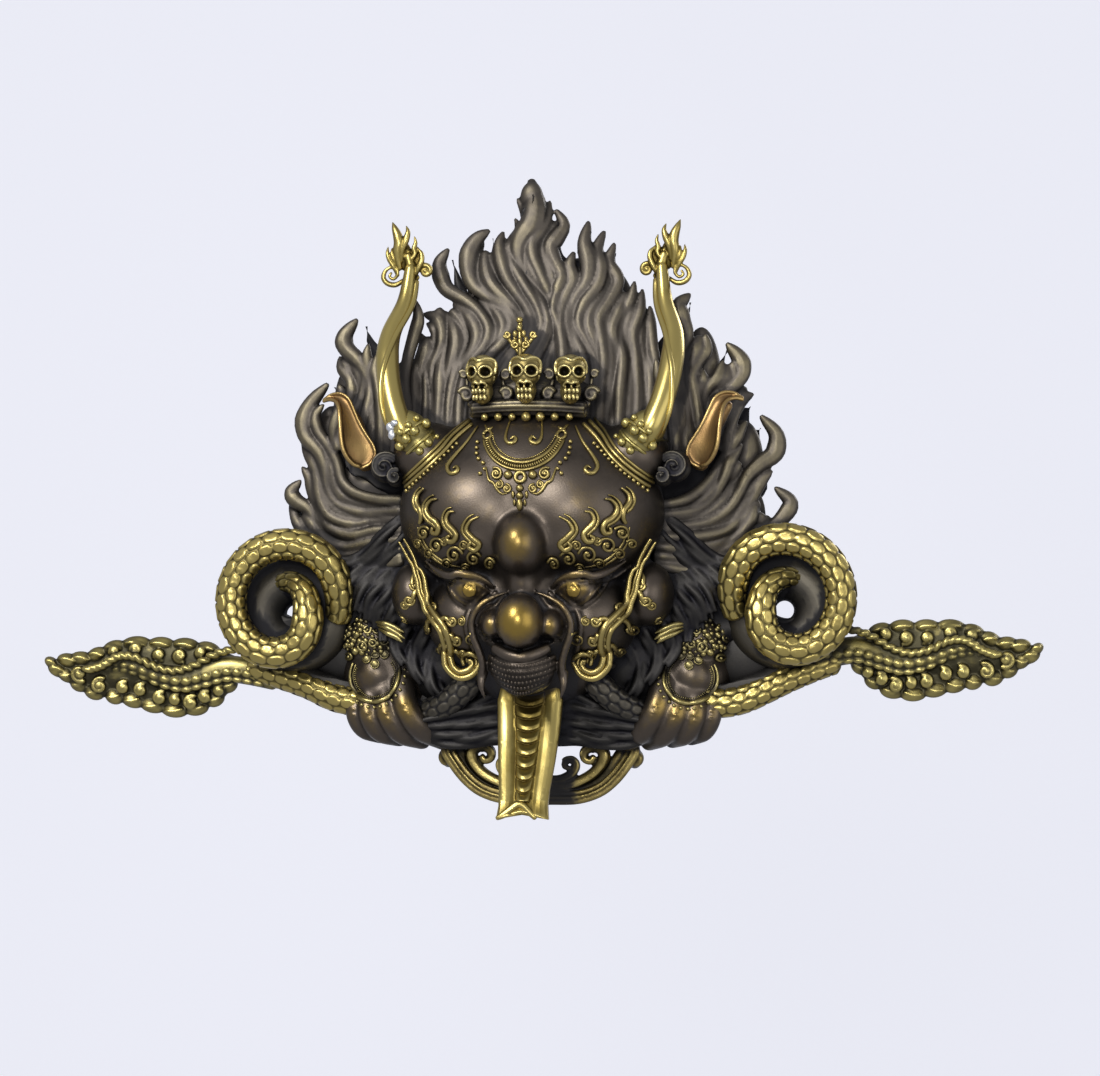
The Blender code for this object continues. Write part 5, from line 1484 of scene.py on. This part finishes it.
# The metal's own marks, in mm from one to the next: the cast skin, handling marks, and broad clouds of patina
marks = {"skin": 1000 / 900, "rub": 1000 / 260, "cloud": 1000 / 34}
finish = {  # between which values of wear, or of painted shade and dirt, each change of the metal comes about
    "patinaWorn": (0.12, 0.48), "skinWorn": (0.46, 0.86), "polished": (0.3, 0.95), "shadeAndDirtSpan": (0.3, 1.0),
    "metallic": (0.92, 0.35),  # bare, and under the painted shade and dirt
    "shadeAndDirtRough": 0.3, "grain": 0.0006,
}


def castMetal(name, grime, body, rubbed, rough, shine, start=0.0, shadeAndDirtDepth=0.85, cloud=0.12, skinDepth=0.12):
    # cast bronze or brass: dark patina left in the hollows, a brown skin, bare metal where hands rub it, and
    # near black painted shade with some dirt deep in the hollows
    # start: how early the skin wears through; the argument after it: how black the painted shade and dirt
    # make the hollows; cloud: how uneven the wear
    material = bpy.data.materials.new(name)
    material.use_nodes = True
    tree = material.node_tree
    shader = tree.nodes["Principled BSDF"]
    place = addNode(tree, "ShaderNodeTexCoord").outputs["Object"]
    waves = {}
    for key, size in marks.items():
        noise = addNode(tree, "ShaderNodeTexNoise", [("Vector", place)], Scale=1000 / size, Detail=4.0)
        waves[key] = noise.outputs[0]
    wear = addNode(tree, "ShaderNodeAttribute", attribute_name="wear").outputs["Fac"]
    hollow = addNode(tree, "ShaderNodeAttribute", attribute_name="hollow").outputs["Fac"]
    uneven = added(tree, wear, waves["cloud"], cloud * 2)
    uneven = added(tree, uneven, waves["rub"], cloud)
    shift = cloud * 1.5 - start
    colour = blend(tree, eased(tree, uneven, finish["patinaWorn"], shift=shift), grime, body)
    colour = blend(tree, eased(tree, uneven, finish["skinWorn"], shift=shift), colour, rubbed)
    # painted shade: the hollow value, with a little noise, darkens the colour towards near black, duller and
    # less metallic
    shadeAndDirtMask = added(tree, hollow, waves["rub"], 0.25)
    share = eased(tree, shadeAndDirtMask, finish["shadeAndDirtSpan"], 0.0, shadeAndDirtDepth)
    colour = blend(tree, share, colour, shadeAndDirt)
    tree.links.new(colour, shader.inputs["Base Color"])
    polish = eased(tree, uneven, finish["polished"], rough, shine, shift)
    tree.links.new(added(tree, polish, share, finish["shadeAndDirtRough"]), shader.inputs["Roughness"])
    tree.links.new(eased(tree, share, (0.0, 1.0), *finish["metallic"]), shader.inputs["Metallic"])
    height = [("Height", waves["skin"])]
    dent = addNode(tree, "ShaderNodeBump", height, Strength=skinDepth, Distance=finish["grain"])
    tree.links.new(dent.outputs[0], shader.inputs["Normal"])
    return material


# How wear, and the painted shade and dirt of the hollows, are read off the carving: a height map of the front
# in cells of this many mm, blurred near and far
ageAndShade = {
    "cell": 0.9, "near": 2, "broad": 9, "soften": 12,
    "pull": 0.6,  # passes that soften a mesh to see what stands out of it, and how far each goes
    "edge": 0.45,  # standing out by this many mm is enough to be rubbed bright
    "base": 0.38, "standing": 0.36, "height": 0.22,
    "facing": 0.35,  # what makes up the wear
    # how far below the ground round it the painted shade and dirt start, over what depth they thicken, and
    # how thick they get
    "groove": (0.8, 5, 0.5), "valley": (3, 18, 0.7), "crease": (0, 0.8, 0.35),
    "margin": 12,
    "rubbed": ("guardian_head", "hand_left", "hand_right", "ribbed_tongue"),
    "gain": {
        "guardian_head": 0.25, "hand_left": 0.3, "hand_right": 0.3, "muzzle_grains": 0.2,
        "flame_crest": 0.45, "flame_mane_left": 0.55, "flame_mane_right": 0.55, "dark_locks": 0.3,
        "casting_back": 0.4, "brow_flames": 0.7, "forehead_jewel": 0.8, "whisker_scrolls": 0.8,
        "ribbed_tongue": 0.7, "ears": 0.6,
    },
    "spots": (  # where the skin is rubbed through: across, up, radius, how much; a negative amount darkens instead, as painted shade
        (0, -139, 17, 0.3), (0, -188, 15, 0.5), (33.6, -168, 10, 0.42), (19, -190, 9, 0.16),
        (30, -112, 26, 0.06), (83, -244, 9, 0.2), (97, -248, 8, 0.14), (109, -249, 7, 0.12),
        # the last, under the muzzle, is painted shade over the chin and the top of the tongue
        (119, -247, 6, 0.08), (100, -222, 18, 0.05), (0, -236, 14, -0.7),
    ),
}


def spread(grid, reach):
    # three running means each way, close to a soft blur
    for axis in (0, 1, 0, 1, 0, 1):
        pads = [(0, 0), (0, 0)]
        pads[axis] = (reach + 1, reach)
        total = np.cumsum(np.pad(grid, pads, mode="edge"), axis=axis)
        count = grid.shape[axis]
        high = np.take(total, np.arange(2 * reach + 1, 2 * reach + 1 + count), axis=axis)
        grid = (high - np.take(total, np.arange(count), axis=axis)) / (2 * reach + 1)
    return grid


def readMesh(mesh):
    co = np.empty(len(mesh.vertices) * 3, np.float32)
    mesh.vertices.foreach_get("co", co)
    normal = np.empty(len(mesh.vertices) * 3, np.float32)
    mesh.vertices.foreach_get("normal", normal)
    edges = np.empty(len(mesh.edges) * 2, np.int32)
    mesh.edges.foreach_get("vertices", edges)
    turn = toSheet.to_3x3()
    co = co.reshape(-1, 3) @ np.array(turn).T
    return co, normal.reshape(-1, 3) @ np.array(turn.normalized()).T, edges.reshape(-1, 2)


def bulge(co, normal, edges):
    # how far each point stands out of its softened surroundings, in mm
    ends = np.concatenate((edges[:, 0], edges[:, 1]))
    others = np.concatenate((edges[:, 1], edges[:, 0]))
    count = np.maximum(np.bincount(ends, minlength=len(co)), 1)
    soft = co.copy()
    for _ in range(ageAndShade["soften"]):
        near = np.column_stack([np.bincount(ends, soft[others, k], len(co)) for k in range(3)])
        soft = soft * (1 - ageAndShade["pull"]) + near / count[:, None] * ageAndShade["pull"]
    return np.einsum("ij,ij->i", co - soft, normal)


def wearAndShade():
    # writes two values on every point: wear on what stands out, and hollow, painted shade with some dirt
    # where the surface lies below its surroundings or in a crease
    read = [readMesh(piece.data) for piece in pieces]
    everything = np.concatenate([co for co, _, _ in read])
    low = everything[:, :2].min(0) - ageAndShade["margin"]
    size = ((everything[:, :2].max(0) + ageAndShade["margin"] - low) / ageAndShade["cell"]).astype(int) + 2
    heights = np.full(size[0] * size[1], -1.0)
    spots = ((everything[:, :2] - low) / ageAndShade["cell"] + 0.5).astype(int)
    order = np.argsort(everything[:, 2])
    heights[(spots[:, 0] * size[1] + spots[:, 1])[order]] = everything[order, 2]
    heights = heights.reshape(size)
    seen = (heights > 0).astype(float)
    heights *= seen
    maps = [spread(heights, ageAndShade[key]) / np.maximum(spread(seen, ageAndShade[key]), 1e-3) for key in ("near", "broad")]
    for piece, (co, normal, edges) in zip(pieces, read):
        spot = ((co[:, :2] - low) / ageAndShade["cell"] + 0.5).astype(int)
        near, broad = (grid[spot[:, 0], spot[:, 1]] for grid in maps)
        stand = bulge(co, normal, edges)
        facing = np.clip(normal[:, 2], -1, 1)
        gain = ageAndShade["gain"].get(piece.name, 1)
        wear = ageAndShade["base"] + ageAndShade["facing"] * (facing - 0.85)
        wear += gain * ageAndShade["standing"] * np.tanh(stand / ageAndShade["edge"])
        wear += gain * ageAndShade["height"] * np.clip((co[:, 2] - near) / 2, -1, 1)
        hollow = np.zeros(len(co))
        # hollow is painted shade with some dirt: darkest below the near ground (groove), below the far
        # ground, which also darkens what lies beside taller parts (valley), and in creases
        for kind, below in (("groove", near - co[:, 2]), ("valley", broad - co[:, 2]), ("crease", -stand)):
            past, depth, share = ageAndShade[kind]
            hollow += np.clip((below - past) / depth, 0, 1) * share
        if piece.name in ageAndShade["rubbed"]:
            for x, y, radius, amount in ageAndShade["spots"]:
                wear += amount * np.exp(-((np.abs(co[:, 0]) - x) ** 2 + (co[:, 1] - y) ** 2) / radius ** 2)
        for name, values in (("wear", wear), ("hollow", hollow)):
            data = piece.data.attributes.new(name, "FLOAT", "POINT").data
            data.foreach_set("value", np.clip(values, 0, 1).astype(np.float32))


# The photograph's viewpoint: a long way off, a little to the right of the middle
view = {"place": (0.4226, -3.0, -0.135), "aim": (0.0038, 0.0, -0.135), "width": 0.715}


def addCamera():
    data = bpy.data.cameras.new("camera")
    camera = bpy.data.objects.new("camera", data)
    bpy.context.scene.collection.objects.link(camera)
    camera.location = view["place"]
    sight = Vector(view["aim"]) - camera.location
    camera.rotation_euler = sight.to_track_quat("-Z", "Y").to_euler()
    data.lens = data.sensor_width * abs(view["place"][1]) / view["width"]
    bpy.context.scene.camera = camera


# The pale sheet behind the plaque hangs well back, so that it hides nothing from the side or from behind
wallSheet = {"away": 4.6, "half": 4, "colour": "#ececf2", "rough": 0.8, "glow": "#f0f1f8", "strength": 0.36}


def addWall():
    bm = bmesh.new()
    bmesh.ops.create_grid(bm, x_segments=1, y_segments=1, size=wallSheet["half"])
    place = Matrix.Translation((0, wallSheet["away"], 0)) @ Matrix.Rotation(math.pi / 2, 4, "X")
    bmesh.ops.transform(bm, matrix=place, verts=bm.verts)
    wall = bpy.data.objects.new("wall", meshOf(bm, "wall"))
    bpy.context.scene.collection.objects.link(wall)
    material = bpy.data.materials.new("white_sheet")
    material.use_nodes = True
    shader = material.node_tree.nodes["Principled BSDF"]
    shader.inputs["Base Color"].default_value = hexColour(wallSheet["colour"])
    shader.inputs["Roughness"].default_value = wallSheet["rough"]
    shader.inputs["Emission Color"].default_value = hexColour(wallSheet["glow"])
    shader.inputs["Emission Strength"].default_value = wallSheet["strength"]
    wall.data.materials.append(material)


room = {"colour": "#d6d8e0", "strength": 0.62, "aim": (0, 0, -0.12)}
lamps = {  # place, size and power; all of them face the plaque
    "key": ((-1.1, -2.3, 1.5), 1.1, 64),
    "front": ((0.15, -3.4, 0.35), 0.6, 30),
    "fill": ((2.2, -1.6, 0.1), 2.0, 16),
    "back": ((1.9, 2.4, 1.3), 1.4, 40),
}


def addLights():
    bpy.context.scene.view_settings.view_transform = "Standard"
    world = bpy.data.worlds.new("studio")
    bpy.context.scene.world = world
    world.use_nodes = True
    tree = world.node_tree
    tree.nodes.clear()
    haze = addNode(tree, "ShaderNodeBackground", Color=hexColour(room["colour"]), Strength=room["strength"])
    addNode(tree, "ShaderNodeOutputWorld", [("Surface", haze.outputs[0])])
    for name, (place, size, power) in lamps.items():
        data = bpy.data.lights.new(name, "AREA")
        data.size = size
        data.energy = power
        lamp = bpy.data.objects.new(name, data)
        bpy.context.scene.collection.objects.link(lamp)
        lamp.location = place
        lamp.rotation_euler = (Vector(room["aim"]) - lamp.location).to_track_quat("-Z", "Y").to_euler()


# Metals, each named for the real one
shadeAndDirt = "#16151a"  # painted shade with some dirt in the deep hollows: near black, a little blue
metals = {  # colours of the grooves, the skin and bare metal, roughness of skin and bare metal, the rest
    # satin brown skin, worn warm on the nose and the knuckles
    "head_bronze": ("#37322d", "#5b5249", "#967d3e", 0.40, 0.28, -0.04),
    # grey flames with faint rubs
    "hair_bronze": ("#33302d", "#57514a", "#857b60", 0.52, 0.42, -0.04, 0.5),
    # ornament, bright on top
    "carved_brass": ("#332e20", "#6e603a", "#ab995e", 0.42, 0.29, -0.02),
    # scales, dull between and bright on top
    "scale_brass": ("#312a21", "#6e633c", "#b3a160", 0.44, 0.30),
    # greener and less rubbed
    "tail_brass": ("#423e2d", "#7a7047", "#aea062", 0.46, 0.32, -0.02, 0.4),
    # the darker beads at the wrists
    "bead_brass": ("#2f2c27", "#5b5440", "#9c8f5c", 0.46, 0.32, -0.06, 0.8),
    # warm, worn ears
    "ear_copper": ("#544330", "#866a44", "#b59a62", 0.40, 0.30, 0.04, 0.4),
    # what hands never reach; on the coil cups and the dark locks this dark colour is also painted shade of
    # their deep recesses
    "dark_bronze_and_shade": ("#222126", "#3a3836", "#5a554b", 0.55, 0.45, -0.12),
    # polished horns and tongue
    "bright_brass": ("#554720", "#84733b", "#b8a664", 0.38, 0.28, 0.10, 0.6, 0.08, 0.05),
    # the small smooth skulls
    "skull_brass": ("#3b3422", "#8a7b4c", "#c8b87c", 0.40, 0.30, 0.06),
    # the white lump at the foot of the left horn
    "tin_solder": ("#7f8388", "#b5b9be", "#e2e4e8", 0.40, 0.3, 0.1),
}
metal = {name: castMetal(name, *look) for name, look in metals.items()}

headForm = buildHead()
face = treeOf(headForm)
addPiece("guardian_head", headForm, "head_bronze")
addPiece("muzzle_grains", buildMuzzleGrains(), "head_bronze")
addPiece("crown_skulls", buildSkulls(), "skull_brass")
addPiece("crown_scrolls", buildCrown(), "hair_bronze")
addPiece("crown_beads", buildCrownGrains(), "carved_brass")
addPiece("forehead_jewel", buildJewel(face), "carved_brass")
addPiece("brow_flames", buildBrow(face), "carved_brass")
addPiece("whisker_scrolls", buildWhiskers(face), "carved_brass")
addPiece("horn_collars", buildCollars(), "tail_brass")
addPiece("solder", buildSolder(), "tin_solder")
addPiece("ears", buildEars(), "ear_copper")
addPiece("ear_scrolls", buildEarScrolls(), "dark_bronze_and_shade")
for side, where in ((-1, "left"), (1, "right")):
    handForm = buildHand(side)
    handSkin = treeOf(handForm)
    handJewels = buildHandJewels(handSkin, side)
    for bm in (handForm, handJewels):
        bmesh.ops.translate(bm, vec=(hand["slip"][side], 0, 0), verts=bm.verts)
    addPiece(f"hand_{where}", handForm, "head_bronze")
    addPiece(f"hand_jewels_{where}", handJewels, "bead_brass")
    addPiece(f"snake_{where}", buildSnake(side), "scale_brass")
    addPiece(f"tail_{where}", buildTail(side), "tail_brass")
    addPiece(f"polished_horn_{where}", buildHorn(side), "bright_brass", f"horn_{where}")
addPiece("coil_cups", buildCups(), "dark_bronze_and_shade")
addPiece("mouth_snakes", buildMouthSnakes(), "dark_bronze_and_shade")
addPiece("dark_locks", buildLocks(), "dark_bronze_and_shade")
addPiece("chin_scroll", buildBracket(), "carved_brass")
addPiece("ribbed_tongue", buildTongue(), "bright_brass", "tongue")
addPiece("flame_crest", buildFlames(crest, crestDepth), "hair_bronze")
for side, where in ((-1, "left"), (1, "right")):
    addPiece(f"flame_mane_{where}", buildFlames(manes[side], maneDepth), "hair_bronze")
addPiece("casting_back", buildCore(), "dark_bronze_and_shade")
wearAndShade()
print("wear_and_shade_done")
addCamera()
addWall()
addLights()
